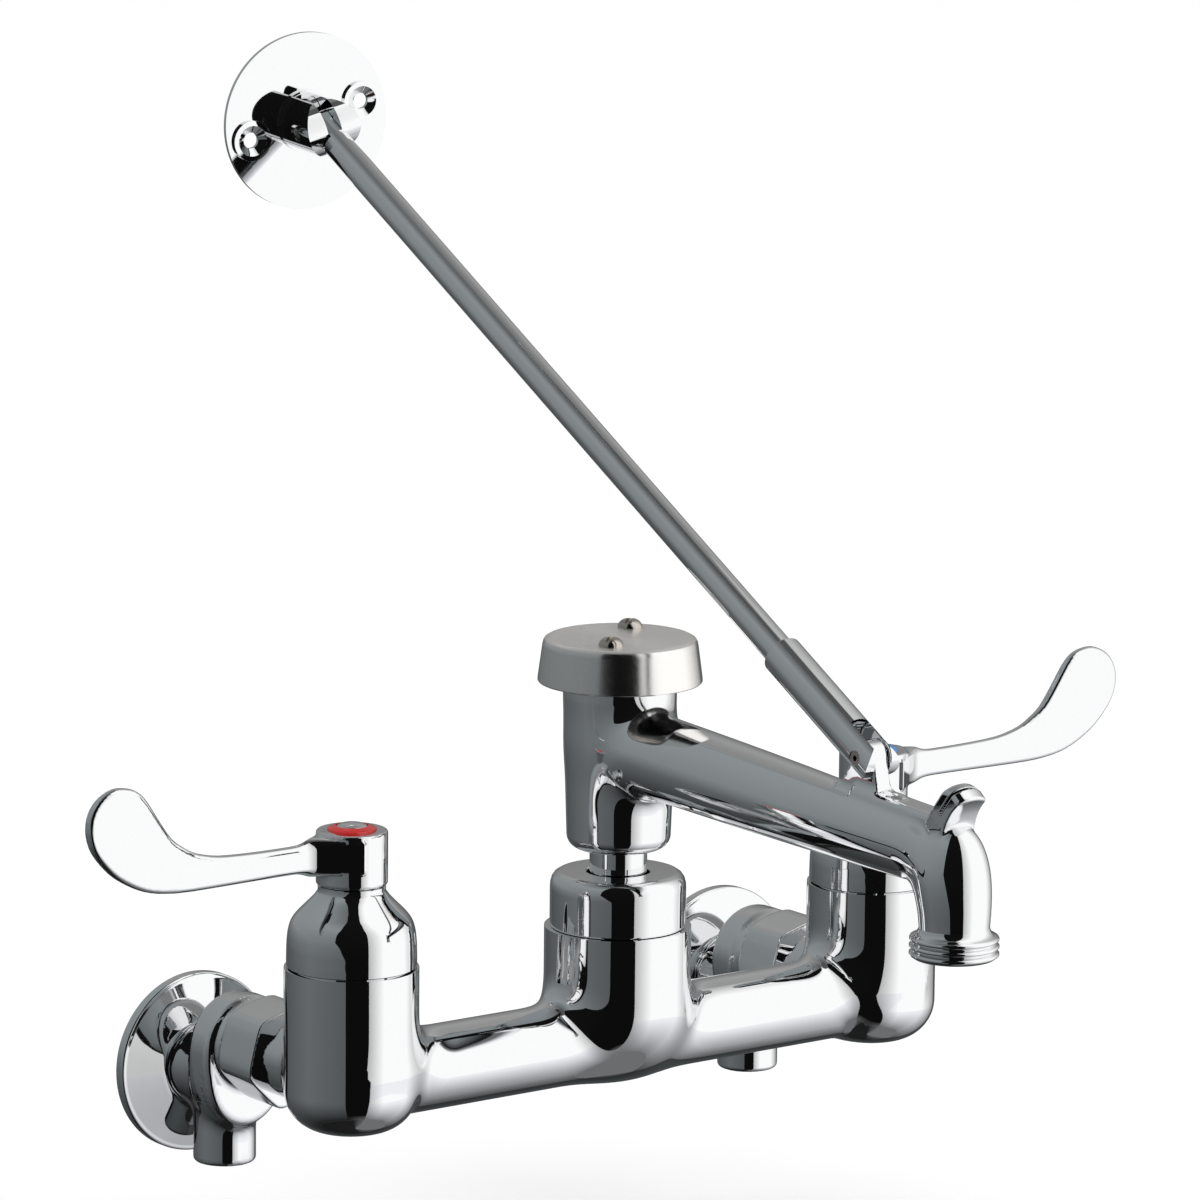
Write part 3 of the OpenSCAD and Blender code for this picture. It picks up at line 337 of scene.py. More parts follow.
def outline_distance(points, outline):
    """Distance of each point to a closed outline, below zero inside."""
    a = np.array(outline, float)
    b = np.roll(a, -1, 0)
    best, inside = np.full(len(points), 1e9), np.zeros(len(points), bool)
    for (ax, ay), (bx, by) in zip(a, b):
        dx, dy = bx - ax, by - ay
        px, py = points[:, 0] - ax, points[:, 1] - ay
        t = np.clip((px * dx + py * dy) / (dx * dx + dy * dy), 0, 1)
        best = np.minimum(best, (px - t * dx) ** 2 + (py - t * dy) ** 2)
        if ay != by:
            inside ^= ((ay > points[:, 1]) != (by > points[:, 1])) & (px < dx * py / dy)
    return np.sqrt(best) * np.where(inside, -1, 1)


def between(value, low, high):
    """Distance to the layer from low to high, below zero inside."""
    return np.abs(value - (low + high) / 2) - (high - low) / 2


def copy_of(piece, name, move):
    """A second piece with the first one's mesh, moved or mirrored by a matrix in metres."""
    data = piece.data.copy()
    data.transform(move)
    if move.determinant() < 0:
        data.flip_normals()
    return shown(name, data)


blade_line = smooth_line(BLADE_OUTLINE, 2)


def handle_shape(p):
    """The handle with its stem's axis at u = 0 and its blade towards u."""
    u, y, z = p.T
    hub = eased_corner(np.hypot(u, y) - HUB_R, between(z, HUB_Z, HUB_TOP_Z), HUB_EASE)
    blade = eased_corner(outline_distance(p[:, [0, 2]], blade_line), np.abs(y) - BLADE_HALF, BLADE_EDGE)
    lean = math.acos((HUB_R - ROOT_R) / ROOT_PLACE)
    flank = u * math.cos(lean) + np.abs(y) * math.sin(lean) - HUB_R
    root = np.maximum(np.maximum(flank, -u), np.hypot(u - ROOT_PLACE, y) - ROOT_R - ROOT_PLACE)
    root = eased_corner(root, between(z, ROOT_LOW_Z, ROOT_HIGH_Z), ROOT_EASE)
    return blend_of(np.minimum(hub, root), blade, BLADE_FILLET)


handle = cast("left_handle_skin", handle_shape, even((-13, -13, 71), (101, 13, 116), 0.75))
on_left, on_right = [Matrix.Translation((sign * VALVE_X * MM, VALVE_Y * MM, 0)) for _, sign in SIDES]
right_handle = copy_of(handle, "right_handle_skin", on_right @ Matrix.Rotation(-SWEEP, 4, "Z"))
handle.data.transform(on_left @ Matrix.Rotation(math.pi + SWEEP, 4, "Z"))
finish_with(handle, chrome, "left_valve", ["left_handle"])
finish_with(right_handle, chrome, "right_valve", ["right_handle"])

# Index rings and handle screws: a moulded plastic ring, red for hot and blue for cold, is held in the
# hub's top by a domed chrome button on the screw that clamps the handle to its stem.
RING_PROFILE = [(4.9, -1.2), (7.65, -1.2), (7.65, 0.1), (7.5, 0.45), (7.1, 0.75), (6.0, 1.1), (4.95, 1.4),
                (4.9, -1.2)]
BUTTON_PROFILE = [(0, -1.2), (4.85, -1.2), (4.85, 1.0), (4.7, 1.25), (4.3, 1.5), (3.4, 1.85), (2.2, 2.1),
                  (1.1, 2.2), (0, 2.25)]


def moulded(name, colour, roughness, mottle=0.06, coat=0.0):
    """Moulded plastic or rubber with slight mottling and a fine skin texture."""
    material, tree, shader = blank_material(name)
    place = tree.nodes.new("ShaderNodeTexCoord")
    noise = tree.nodes.new("ShaderNodeTexNoise")
    noise.inputs["Scale"].default_value = 420
    tint = tree.nodes.new("ShaderNodeValToRGB")
    tint.color_ramp.elements[0].color = (*[c * (1 - mottle) for c in colour], 1)
    tint.color_ramp.elements[1].color = (*[min(1, c * (1 + mottle)) for c in colour], 1)
    bump = tree.nodes.new("ShaderNodeBump")
    bump.inputs["Strength"].default_value = 0.08
    bump.inputs["Distance"].default_value = 0.0002
    shader.inputs["Roughness"].default_value = roughness
    shader.inputs["Coat Weight"].default_value = coat
    join(tree,
         (place.outputs["Object"], noise.inputs["Vector"]),
         (noise.outputs["Fac"], tint.inputs["Fac"]),
         (tint.outputs["Color"], shader.inputs["Base Color"]),
         (noise.outputs["Fac"], bump.inputs["Height"]),
         (bump.outputs["Normal"], shader.inputs["Normal"]))
    return material


ring_finishes = {"left": (moulded("hot_red", (0.6, 0.014, 0.013), 0.25, coat=0.4), "hot_ring"),
                 "right": (moulded("cold_blue", (0.07, 0.31, 0.72), 0.25, coat=0.4), "cold_ring")}
for side, sign in SIDES:
    top = (sign * VALVE_X, VALVE_Y, HUB_TOP_Z)
    plastic, slot = ring_finishes[side]
    ring = turned(f"{side}_ring_skin", RING_PROFILE, top, steps=96)
    finish_with(ring, plastic, f"{side}_valve", [f"{side}_index_ring"])
    button = turned(f"{side}_button", BUTTON_PROFILE, top, steps=96)
    finish_with(button, chrome, f"{side}_valve", [f"{side}_handle_screw"])

# Spout nut: a round brass nut with a soft upper edge, chromed. It screws down on the centre tower and
# holds the shank's retaining ring, so that the spout can swing.
NUT_PROFILE = [(17.2, 46.3), (20.7, 46.3), (21.2, 46.5), (21.4, 47.0), (21.4, 58.3), (21.3, 60.0),
               (20.9, 61.5), (20.1, 62.7), (19.0, 63.4), (17.8, 63.7), (10.3, 63.7), (9.95, 63.35),
               (9.95, 58.0), (17.2, 58.0), (17.2, 46.3)]
nut = turned("spout_nut_skin", NUT_PROFILE, (0, VALVE_Y, 0))
finish_with(nut, chrome, "fixture", ["spout_nut"])

# Shank: a turned and polished brass tube that joins the swinging spout to the centre tower. Its wide
# foot, with two O-ring grooves, stays inside the tower.
SHANK_PROFILE = [(7, 32.1), (11.05, 32.1), (11.05, 55.1), (9.05, 55.1), (9.05, 88), (7, 88), (7, 32.1)]
shank = turned("shank_skin", SHANK_PROFILE, (0, VALVE_Y, 0))
finish_with(shank, chrome, "spout", ["shank"])

# Spout: one brass casting, polished and chromed. A conical tower holds the vacuum breaker, and the
# tube tapers to the down-turned outlet, with the brace's lug, a low crest and a bucket hook. The
# hook's slit end is a finer mesh of its own that carries the casting on above a seam.
SPOUT_FOOT_Z, SPOUT_TOP_Z, SPOUT_ROUND = 71.3, 136.7, 4.3
TOWER_LOW_R, TOWER_HIGH_R, TOWER_HIGH_Z, TOWER_JOIN = 16.2, 17.8, 119.7, 9
TUBE_START, TUBE_END = (-85.0, 104.4), (-234.3, 99.77)
TUBE_START_R, TUBE_R, TUBE_SWELL = 13.3, 10.5, 0.55
BEND_Y, BEND_Z, BEND_R, OUTLET_Y, OUTLET_Z = -233.8, 81.78, 18.0, -251.8, 60
ELBOW_Y, ELBOW_Z, ELBOW_R, ELBOW_RISE, ELBOW_JOIN = -251.3, 92.0, 10.8, 18.3, 5
THREAD_TOP_Z = 76.5
PIN_Y, PIN_Z = -210.7, 123.1
CREST_HALF, CREST_Z, CREST_SLOPE, CREST_FOOT_Z = 5.0, 113.4, 0.045, 104
CREST_FRONT_Y, CREST_BACK_Y = -249, -207
CREST_SIDE_EASE, CREST_END_EASE, CREST_FILLET = 2.2, 1.5, 2.6
PAD_Y, PAD_Z, PAD_HALF_X, PAD_HALF_Y, PAD_HALF_Z, PAD_FILLET = -222.4, 112.4, 3.1, 5.2, 1.7, 0.8
LUG_HALF, LUG_EYE_R, LUG_EYE_JOIN, LUG_EASE, LUG_FILLET = 2.85, 5, 0.5, 0.7, 4
LUG_OUTLINE = [(-215.6, 122.2), (-217.9, 111.6), (-217.9, 103), (-198.0, 103), (-198.0, 111.5),
               (-202.2, 117.0), (-205.8, 122.6)]
HOOK_Y, HOOK_Z, HOOK_LEAN, HOOK_ROOT = -253.0, 108.3, math.radians(36), -5.0
HOOK_HALF, HOOK_LENGTH, HOOK_ARCH_R, HOOK_DEPTH = 6.2, 13.4, 8.7, 8.2
HOOK_TAPER, HOOK_FALL, HOOK_HOLLOW, HOOK_HOLLOW_LENGTH = 0.06, 0.4, 1.1, 13
HOOK_EASE, HOOK_SIDE_EASE, HOOK_FILLET, HOOK_SEAM = 1.1, 0.7, 1.8, 2.6
SLIT_DEEP, SLIT_HALF, SLIT_FLOOR, SLIT_EASE = 4.65, 0.4, 3.4, 0.5


def segment_distance(y, z, a, b):
    """Distance in the spout's middle plane to the line from a to b, and the share of its length."""
    dy, dz = b[0] - a[0], b[1] - a[1]
    t = np.clip(((y - a[0]) * dy + (z - a[1]) * dz) / (dy * dy + dz * dz), 0, 1)
    return np.hypot(y - a[0] - t * dy, z - a[1] - t * dz), t


def tube_shape(x, y, z):
    """The tapered tube, its bend down to the outlet and the fuller corner of the elbow."""
    off, share = segment_distance(y, z, TUBE_START, TUBE_END)
    radius = TUBE_START_R + (TUBE_R - TUBE_START_R) * share + TUBE_SWELL * np.sin(share * math.pi)
    tube = np.hypot(x, off) - radius
    turn = np.clip(np.arctan2(z - BEND_Z, BEND_Y - y), 0, math.pi / 2)
    off = np.hypot(y - BEND_Y + BEND_R * np.cos(turn), z - BEND_Z - BEND_R * np.sin(turn))
    tube = np.minimum(tube, np.hypot(x, off) - TUBE_R)
    off, _ = segment_distance(y, z, (OUTLET_Y, BEND_Z), (OUTLET_Y, OUTLET_Z))
    tube = np.minimum(tube, np.hypot(x, off) - TUBE_R)
    flat_z = (z - ELBOW_Z) * ELBOW_R / ELBOW_RISE
    elbow = np.sqrt(x ** 2 + (y - ELBOW_Y) ** 2 + flat_z ** 2) - ELBOW_R
    return blend_of(tube, elbow, ELBOW_JOIN)


def crest_shape(x, y, z):
    """The low flat crest along the top of the tube."""
    crest = eased_corner(np.abs(x) - CREST_HALF, z - (CREST_Z + (y - PIN_Y) * CREST_SLOPE), CREST_SIDE_EASE)
    crest = eased_corner(crest, between(y, CREST_FRONT_Y, CREST_BACK_Y), CREST_END_EASE)
    return np.maximum(crest, CREST_FOOT_Z - z)


def lug_shape(x, y, z):
    """The brace's lug, a flat cheek with a round eye at the pin."""
    eye = np.hypot(y - PIN_Y, z - PIN_Z) - LUG_EYE_R
    flat = blend_of(outline_distance(np.stack([y, z], 1), LUG_OUTLINE), eye, LUG_EYE_JOIN)
    return eased_corner(flat, np.abs(x) - LUG_HALF, LUG_EASE)


def pad_shape(x, y, z):
    """The small raised pad on the crest before the lug."""
    off = np.sqrt((x / PAD_HALF_X) ** 2 + ((y - PAD_Y) / PAD_HALF_Y) ** 2 + ((z - PAD_Z) / PAD_HALF_Z) ** 2)
    return (off - 1) * PAD_HALF_Z


def blade_of_hook(x, y, z):
    """The bucket hook before its slit is cut: it leans forward, arches at its top and has a hollow back."""
    deep = (y - HOOK_Y) * math.cos(HOOK_LEAN) + (z - HOOK_Z) * math.sin(HOOK_LEAN)
    up = (z - HOOK_Z) * math.cos(HOOK_LEAN) - (y - HOOK_Y) * math.sin(HOOK_LEAN)
    arch = np.hypot(x, up - HOOK_LENGTH + HOOK_ARCH_R) - HOOK_ARCH_R
    top = np.where(up > HOOK_LENGTH - HOOK_ARCH_R, arch, up - HOOK_LENGTH)
    top = top + HOOK_FALL * np.clip(deep - SLIT_DEEP, 0, None)
    hollow = HOOK_HOLLOW * np.sin(np.clip(up / HOOK_HOLLOW_LENGTH, 0, 1) * math.pi)
    thick = np.maximum(hollow - deep, deep - HOOK_DEPTH)
    hook = eased_corner(np.maximum(top, HOOK_ROOT - up), thick, HOOK_EASE)
    wide = np.abs(x) - HOOK_HALF + HOOK_TAPER * np.clip(up, 0, None)
    return eased_corner(hook, wide, HOOK_SIDE_EASE)


def spout_shape(p):
    """The whole spout casting: tower, tube, crest, lug, pad and hook, joined by their fillets."""
    x, y, z = p.T
    rise = np.clip((z - SPOUT_FOOT_Z) / (TOWER_HIGH_Z - SPOUT_FOOT_Z), 0, 1)
    tower_r = TOWER_LOW_R + (TOWER_HIGH_R - TOWER_LOW_R) * rise
    tower = eased_corner(np.hypot(x, y - VALVE_Y) - tower_r, SPOUT_FOOT_Z - z, SPOUT_ROUND)
    solid = blend_of(tube_shape(x, y, z), tower, TOWER_JOIN)
    for added, fillet in ((crest_shape, CREST_FILLET), (lug_shape, LUG_FILLET),
                          (pad_shape, PAD_FILLET), (blade_of_hook, HOOK_FILLET)):
        solid = blend_of(solid, added(x, y, z), fillet)
    return solid


spout = cast("spout_skin", spout_shape, even((-20, -266, 68), (20, -64, 141), 0.8), cuts=(
    ((0, 0, SPOUT_TOP_Z), (0, 0, 1), lambda c: c.z > 130),
    ((0, 0, THREAD_TOP_Z), (0, 0, -1), lambda c: c.y < -230 and c.z < 90),
    ((0, HOOK_Y - HOOK_SEAM * math.sin(HOOK_LEAN), HOOK_Z + HOOK_SEAM * math.cos(HOOK_LEAN)),
     (0, -math.sin(HOOK_LEAN), math.cos(HOOK_LEAN)), lambda c: c.y < -238 and c.z > 103),
))
finish_with(spout, chrome, "spout", ["spout_casting"])


def cut_from(a, b, reach):
    """Distance of solid a with solid b taken away and the new edge eased."""
    return -blend_of(-a, b, reach)


def hook_end_shape(p):
    """The hook's end in its own frame, with the slit that parts its two prongs."""
    x, deep, up = p.T
    y = HOOK_Y + deep * math.cos(HOOK_LEAN) - up * math.sin(HOOK_LEAN)
    z = HOOK_Z + deep * math.sin(HOOK_LEAN) + up * math.cos(HOOK_LEAN)
    slit = np.maximum(np.abs(deep - SLIT_DEEP) - SLIT_HALF, SLIT_FLOOR - up)
    return cut_from(spout_shape(np.stack([x, y, z], 1)), slit, SLIT_EASE)


hook = cast("bucket_hook", hook_end_shape, even((-10, -4, HOOK_SEAM - 0.6), (10, 13, 15), 0.25), cuts=(
    ((0, 0, HOOK_SEAM), (0, 0, -1), lambda c: True),
))
hook_place = Matrix.Translation((0, HOOK_Y * MM, HOOK_Z * MM))
hook.data.transform(hook_place @ Matrix.Rotation(HOOK_LEAN, 4, "X"))
finish_with(hook, chrome, "spout")

# Outlet thread: the hose thread cut on the spout's end, with a flared shoulder above it. It is the
# same brass and chrome as the spout, and its bore is the tube's.
THREAD_PROFILE = [(7.6, 69.4), (12.2, 69.4), (12.5, 69.7), (13.1, 70.0), (13.49, 70.45), (13.49, 71.0),
                  (13.1, 71.4), (12.45, 71.75), (12.45, 72.05), (13.1, 72.35), (13.49, 72.8), (13.49, 73.3),
                  (13.1, 73.7), (12.5, 74.0), (12.5, 74.3), (13.05, 74.6), (13.4, 75.05), (13.45, 75.5),
                  (13.2, 75.95), (12.6, 76.3), (11.8, 76.7), (11.15, 77.3), (10.75, 78.1), (10.5, 79.2),
                  (10.3, 79.4), (7.6, 79.4), (7.6, 69.4)]
thread = turned("outlet_thread", THREAD_PROFILE, (0, OUTLET_Y, 0), split=50)
finish_with(thread, chrome, "spout")

# Vacuum-breaker cap: pressed stainless steel, brushed, with a rolled upper edge and an open skirt that
# lets air in. Two domed slotted screws hold it on the spout's tower.
CAP_TOP_Z = 138.3
CAP_OUTSIDE = [(24.6, 124.5), (25.6, 124.5), (25.8, 124.8), (25.75, 125.6), (24.35, 136.0), (24.15, 136.9),
               (23.7, 137.7), (22.9, 138.15), (21.9, CAP_TOP_Z), (0, CAP_TOP_Z)]
CAP_INSIDE = [(0, 136.7), (22.0, 136.7), (22.9, 135.9), (24.6, 124.5)]
SCREW_PROFILE = [(0, -0.2), (3.9, -0.2), (3.95, 0.2), (3.85, 0.8), (3.5, 1.55), (2.9, 2.2), (2.1, 2.65),
                 (1.1, 2.9), (0, 3.0)]
SCREW_PLACE, SCREW_TURN = 15.1, 42
SLOT_TURN, SLOT_HALF, SLOT_FLOOR = 30, 0.55, 1.9


def brushed(name, colour, roughness):
    """Stainless steel brushed in fine circles about the cap's axis, with a paler satin top."""
    material = metal(name, colour, roughness, wave=0.0)
    tree = material.node_tree
    shader = tree.nodes["Principled BSDF"]
    shader.inputs["Anisotropic"].default_value = 0.85
    shader.inputs["Anisotropic Rotation"].default_value = 0.25
    around = tree.nodes.new("ShaderNodeTangent")
    around.direction_type = "RADIAL"
    around.axis = "Z"
    place = tree.nodes.new("ShaderNodeTexCoord")
    split = tree.nodes.new("ShaderNodeSeparateXYZ")
    shift = tree.nodes.new("ShaderNodeVectorMath")
    shift.inputs[1].default_value = (0, -VALVE_Y * MM, 0)
    flat = tree.nodes.new("ShaderNodeCombineXYZ")
    length = tree.nodes.new("ShaderNodeVectorMath")
    length.operation = "LENGTH"
    joined = tree.nodes.new("ShaderNodeCombineXYZ")
    lines = tree.nodes.new("ShaderNodeTexNoise")
    lines.inputs["Scale"].default_value = 5200
    lines.inputs["Detail"].default_value = 2
    bump = tree.nodes.new("ShaderNodeBump")
    bump.inputs["Strength"].default_value = 0.35
    bump.inputs["Distance"].default_value = 0.00005
    satin = tree.nodes.new("ShaderNodeMapRange")
    satin.inputs["From Min"].default_value = (CAP_TOP_Z - 1) * MM
    satin.inputs["From Max"].default_value = CAP_TOP_Z * MM
    satin.inputs["To Min"].default_value = 1
    satin.inputs["To Max"].default_value = 0.72
    join(tree,
         (split.outputs["Z"], satin.inputs["Value"]),
         (satin.outputs["Result"], shader.inputs["Metallic"]),
         (place.outputs["Object"], shift.inputs[0]),
         (shift.outputs["Vector"], split.inputs["Vector"]),
         (split.outputs["X"], flat.inputs["X"]),
         (split.outputs["Y"], flat.inputs["Y"]),
         (flat.outputs["Vector"], length.inputs[0]),
         (length.outputs["Value"], joined.inputs["X"]),
         (split.outputs["Z"], joined.inputs["Y"]),
         (joined.outputs["Vector"], lines.inputs["Vector"]),
         (lines.outputs["Fac"], bump.inputs["Height"]),
         (bump.outputs["Normal"], shader.inputs["Normal"]),
         (around.outputs["Tangent"], shader.inputs["Tangent"]))
    return material


cap_steel = brushed("brushed_steel", (0.97, 0.95, 0.92), 0.24)
cap = turned("breaker_cap_skin", CAP_OUTSIDE + CAP_INSIDE, (0, VALVE_Y, 0), steps=192)
finish_with(cap, cap_steel, "spout", ["breaker_cap"])

screw_steel = metal("screw_steel", (0.6, 0.56, 0.5), 0.12)


def cut_by(piece, cutter):
    """Takes the cutter's solid away from the piece, and the cutter with it."""
    tool = piece.modifiers.new("cut", "BOOLEAN")
    tool.object, tool.operation, tool.solver = cutter, "DIFFERENCE", "EXACT"
    bpy.context.view_layer.update()
    made = bpy.data.meshes.new_from_object(piece.evaluated_get(bpy.context.evaluated_depsgraph_get()))
    piece.modifiers.clear()
    piece.data = made
    bpy.data.objects.remove(cutter)


def block(name, low, high, place):
    """A plain cutter box from corner to corner, in millimetres."""
    bm = bmesh.new()
    bmesh.ops.create_cube(bm, size=1)
    low, high = Vector(low), Vector(high)
    size = high - low
    move = Matrix.Translation((low + high) / 2) @ Matrix.Diagonal((*size, 1))
    bm.transform(Matrix.Scale(MM, 4) @ place @ move)
    mesh = bpy.data.meshes.new(name)
    bm.to_mesh(mesh)
    bm.free()
    return shown(name, mesh)


for k, replaced in enumerate((["cap_screws"], [])):
    turn = math.radians(SCREW_TURN + 180 * k)
    at = (SCREW_PLACE * math.cos(turn), VALVE_Y + SCREW_PLACE * math.sin(turn), CAP_TOP_Z)
    head = turned(f"cap_screw_{k + 1}", SCREW_PROFILE, at, steps=72)
    place = Matrix.Translation(at) @ Matrix.Rotation(math.radians(SLOT_TURN), 4, "Z")
    cut_by(head, block("slot", (-6, -SLOT_HALF, SLOT_FLOOR), (6, SLOT_HALF, 4), place))
    finish_with(head, screw_steel, "spout", replaced)

# Supply arms: brass castings, polished and chromed, each with a threaded inlet shank, a round stop
# body and a stop barrel that points down. Union nuts join them to the body casting.
INLET_X, SHANK_R, SHANK_FRONT_Y = 103.5, 13.4, -26
STOP_X, STOP_Z, STOP_R, STOP_EASE, STOP_FILLET = 102.4, 10.5, 16.1, 2.0, 5
STOP_FRONT_Y, STOP_BACK_Y = -31.6, -20.4
CHIN_Z, CHIN_R, CHIN_JOIN = -2.0, 12.8, 14
BARREL_Y, BARREL_Z, BARREL_TOP_Z = -18.5, -28.6, 8
BARREL_R, BARREL_EASE, BARREL_FILLET = 9.85, 1.4, 6
TAIL_R, TAIL_END_Y, NECK_R, NECK_END_Y, NECK_FILLET = 10.4, -44.1, 14.2, -34.6, 2.5
BORE_R, BORE_END_Y, MOUTH_R, MOUTH_DEEP, MOUTH_EASE = 9.15, -12, 7.4, 12, 0.8


def arm_shape(p):
    """The right supply arm, with its inlet bore and the open mouth of its stop barrel."""
    x, y, z = p.T
    shank = np.maximum(np.hypot(x - INLET_X, z) - SHANK_R, np.maximum(y, SHANK_FRONT_Y - y))
    chin = np.hypot(x - INLET_X, z - CHIN_Z) - CHIN_R
    disc = np.hypot(x - STOP_X, z - STOP_Z) - STOP_R
    stop = eased_corner(blend_of(disc, chin, CHIN_JOIN), between(y, STOP_FRONT_Y, STOP_BACK_Y), STOP_EASE)
    solid = blend_of(shank, stop, STOP_FILLET)
    off = np.hypot(x - INLET_X, y - BARREL_Y)
    barrel = eased_corner(off - BARREL_R, np.maximum(BARREL_Z - z, z - BARREL_TOP_Z), BARREL_EASE)
    solid = blend_of(solid, barrel, BARREL_FILLET)
    rho = np.hypot(x - VALVE_X, z - ARM_Z)
    tail = np.maximum(rho - TAIL_R, np.maximum(TAIL_END_Y - y, y - SHANK_FRONT_Y))
    neck = np.maximum(rho - NECK_R, np.maximum(NECK_END_Y - y, y - SHANK_FRONT_Y))
    solid = blend_of(solid, np.minimum(tail, neck), NECK_FILLET)
    bore = np.maximum(np.hypot(x - INLET_X, z) - BORE_R, BORE_END_Y - y)
    mouth = np.maximum(off - MOUTH_R, z - BARREL_Z - MOUTH_DEEP)
    return cut_from(cut_from(solid, bore, MOUTH_EASE), mouth, MOUTH_EASE)


arm = cast("right_supply_skin", arm_shape, even((82, -46, -31), (121, 2, 31), 0.7))
left_arm = copy_of(arm, "left_supply_skin", Matrix.Diagonal((-1, 1, 1, 1)))
finish_with(arm, chrome, "fixture", ["right_supply_arm"])
finish_with(left_arm, chrome, "fixture", ["left_supply_arm"])

# Union nuts: forged brass hexagons with a rounded skirt towards the stop, chromed. They pull the
# supply arm's flanged tail against a washer in the collar of the body casting.
UNION_FRONT_Y, UNION_BACK_Y, UNION_TURN = -53.0, -35.0, math.radians(15)
UNION_APOTHEM, UNION_CORNER_R, UNION_CORNER_EASE, UNION_EASE = 15.0, 16.6, 2, 0.6
CHAMFER_R, CHAMFER_EASE, SKIRT_R, SKIRT_EASE = 16.4, 0.8, 15.6, 1.5
UNION_BORE_R, UNION_BORE_EASE = 10.9, 0.6


def common_of(a, b, reach):
    """Distance of what solids a and b have in common, with the new edge eased."""
    return -blend_of(-a, -b, reach)


def union_shape(p):
    """The right union nut, chamfered at the body and coned at the stop."""
    x, y, z = p.T
    dx, dz = x - VALVE_X, z - ARM_Z
    turns = [UNION_TURN + k * math.pi / 3 + math.pi / 6 for k in range(6)]
    flats = np.max([dx * math.cos(turn) + dz * math.sin(turn) for turn in turns], 0) - UNION_APOTHEM
    rho = np.hypot(dx, dz)
    hexagon = common_of(flats, rho - UNION_CORNER_R, UNION_CORNER_EASE)
    solid = eased_corner(hexagon, between(y, UNION_FRONT_Y, UNION_BACK_Y), UNION_EASE)
    chamfer = (rho - CHAMFER_R) * 0.6 + (UNION_FRONT_Y - y) * 0.8
    skirt = (rho - SKIRT_R) * 0.72 + (y - UNION_BACK_Y) * 0.69
    solid = common_of(common_of(solid, chamfer, CHAMFER_EASE), skirt, SKIRT_EASE)
    return cut_from(solid, rho - UNION_BORE_R, UNION_BORE_EASE)


union = cast("right_union_skin", union_shape, even((82, -55, -8), (121, -33, 31), 0.6))
left_union = copy_of(union, "left_union_skin", Matrix.Translation((-2 * VALVE_X * MM, 0, 0)))
finish_with(union, chrome, "fixture", ["right_union_nut"])
finish_with(left_union, chrome, "fixture", ["left_union_nut"])

# Wall flanges: spun brass shells, chromed, with a straight rim and a domed face. They slide on the
# inlet shanks and cover the holes in the wall.
FLANGE_PROFILE = [(13.4, 7.4), (25.6, 2.6), (27.5, 2.6), (27.5, 0), (28.4, 0), (28.6, 0.25), (28.6, 2.9),
                  (28.45, 3.3), (28.1, 3.55), (27.6, 3.65), (27.2, 3.68), (26.8, 3.8), (25.4, 4.22),
                  (23.8, 4.7), (21.6, 5.37), (19.4, 6.05), (17.4, 6.65), (15.8, 7.15), (14.8, 7.45),
                  (14.0, 7.6), (13.45, 7.5), (13.4, 7.4)]
for side, sign in SIDES:
    flange = turned(f"{side}_flange_skin", FLANGE_PROFILE, (sign * INLET_X, 0, 0),
                    along="-Y", steps=160, split=35)
    finish_with(flange, chrome, "fixture", [f"{side}_flange"])

# Brace: a chromed sleeve with a forked end straddles the spout's lug on a coiled pin, a polished rod
# slides in it, and the rod's flat tongue is pinned in the slotted boss of the round wall plate.
FLAT_WITHIN, EASED_OVER, CRISP_OVER = math.radians(0.6), math.radians(32), math.radians(40)
BRACE_PIECES = [  # node, body and how far its edges are eased, in millimetres
    ("brace_sleeve", "brace", 0.3),
    ("brace_rod", "rod", 0.25),
    ("wall_bracket", "bracket", 0.2),
]


def eased_copy(name, node, ease):
    """The CAD solid's shape as a new piece, with its edges eased and its curved faces smooth."""
    bm = bmesh.new()
    bm.from_mesh(nodes[node].data)
    bmesh.ops.remove_doubles(bm, verts=bm.verts, dist=1e-6)
    bmesh.ops.dissolve_limit(bm, angle_limit=FLAT_WITHIN, verts=bm.verts, edges=bm.edges)
    sharp = [e for e in bm.edges if len(e.link_faces) == 2 and e.calc_face_angle(0) > EASED_OVER]
    bmesh.ops.bevel(bm, geom=sharp, offset=ease * MM, segments=2, profile=0.5, affect="EDGES",
                    clamp_overlap=True)
    mesh = bpy.data.meshes.new(name)
    bm.to_mesh(mesh)
    bm.free()
    mesh.polygons.foreach_set("use_smooth", [True] * len(mesh.polygons))
    mesh.set_sharp_from_angle(angle=CRISP_OVER)
    piece = shown(name, mesh)
    shading = piece.modifiers.new("even_normals", "WEIGHTED_NORMAL")
    shading.keep_sharp = True
    shading.weight = 90
    return piece


for node, rides_on, ease in BRACE_PIECES:
    finish_with(eased_copy(f"{node}_skin", node, ease), chrome, rides_on, [node])

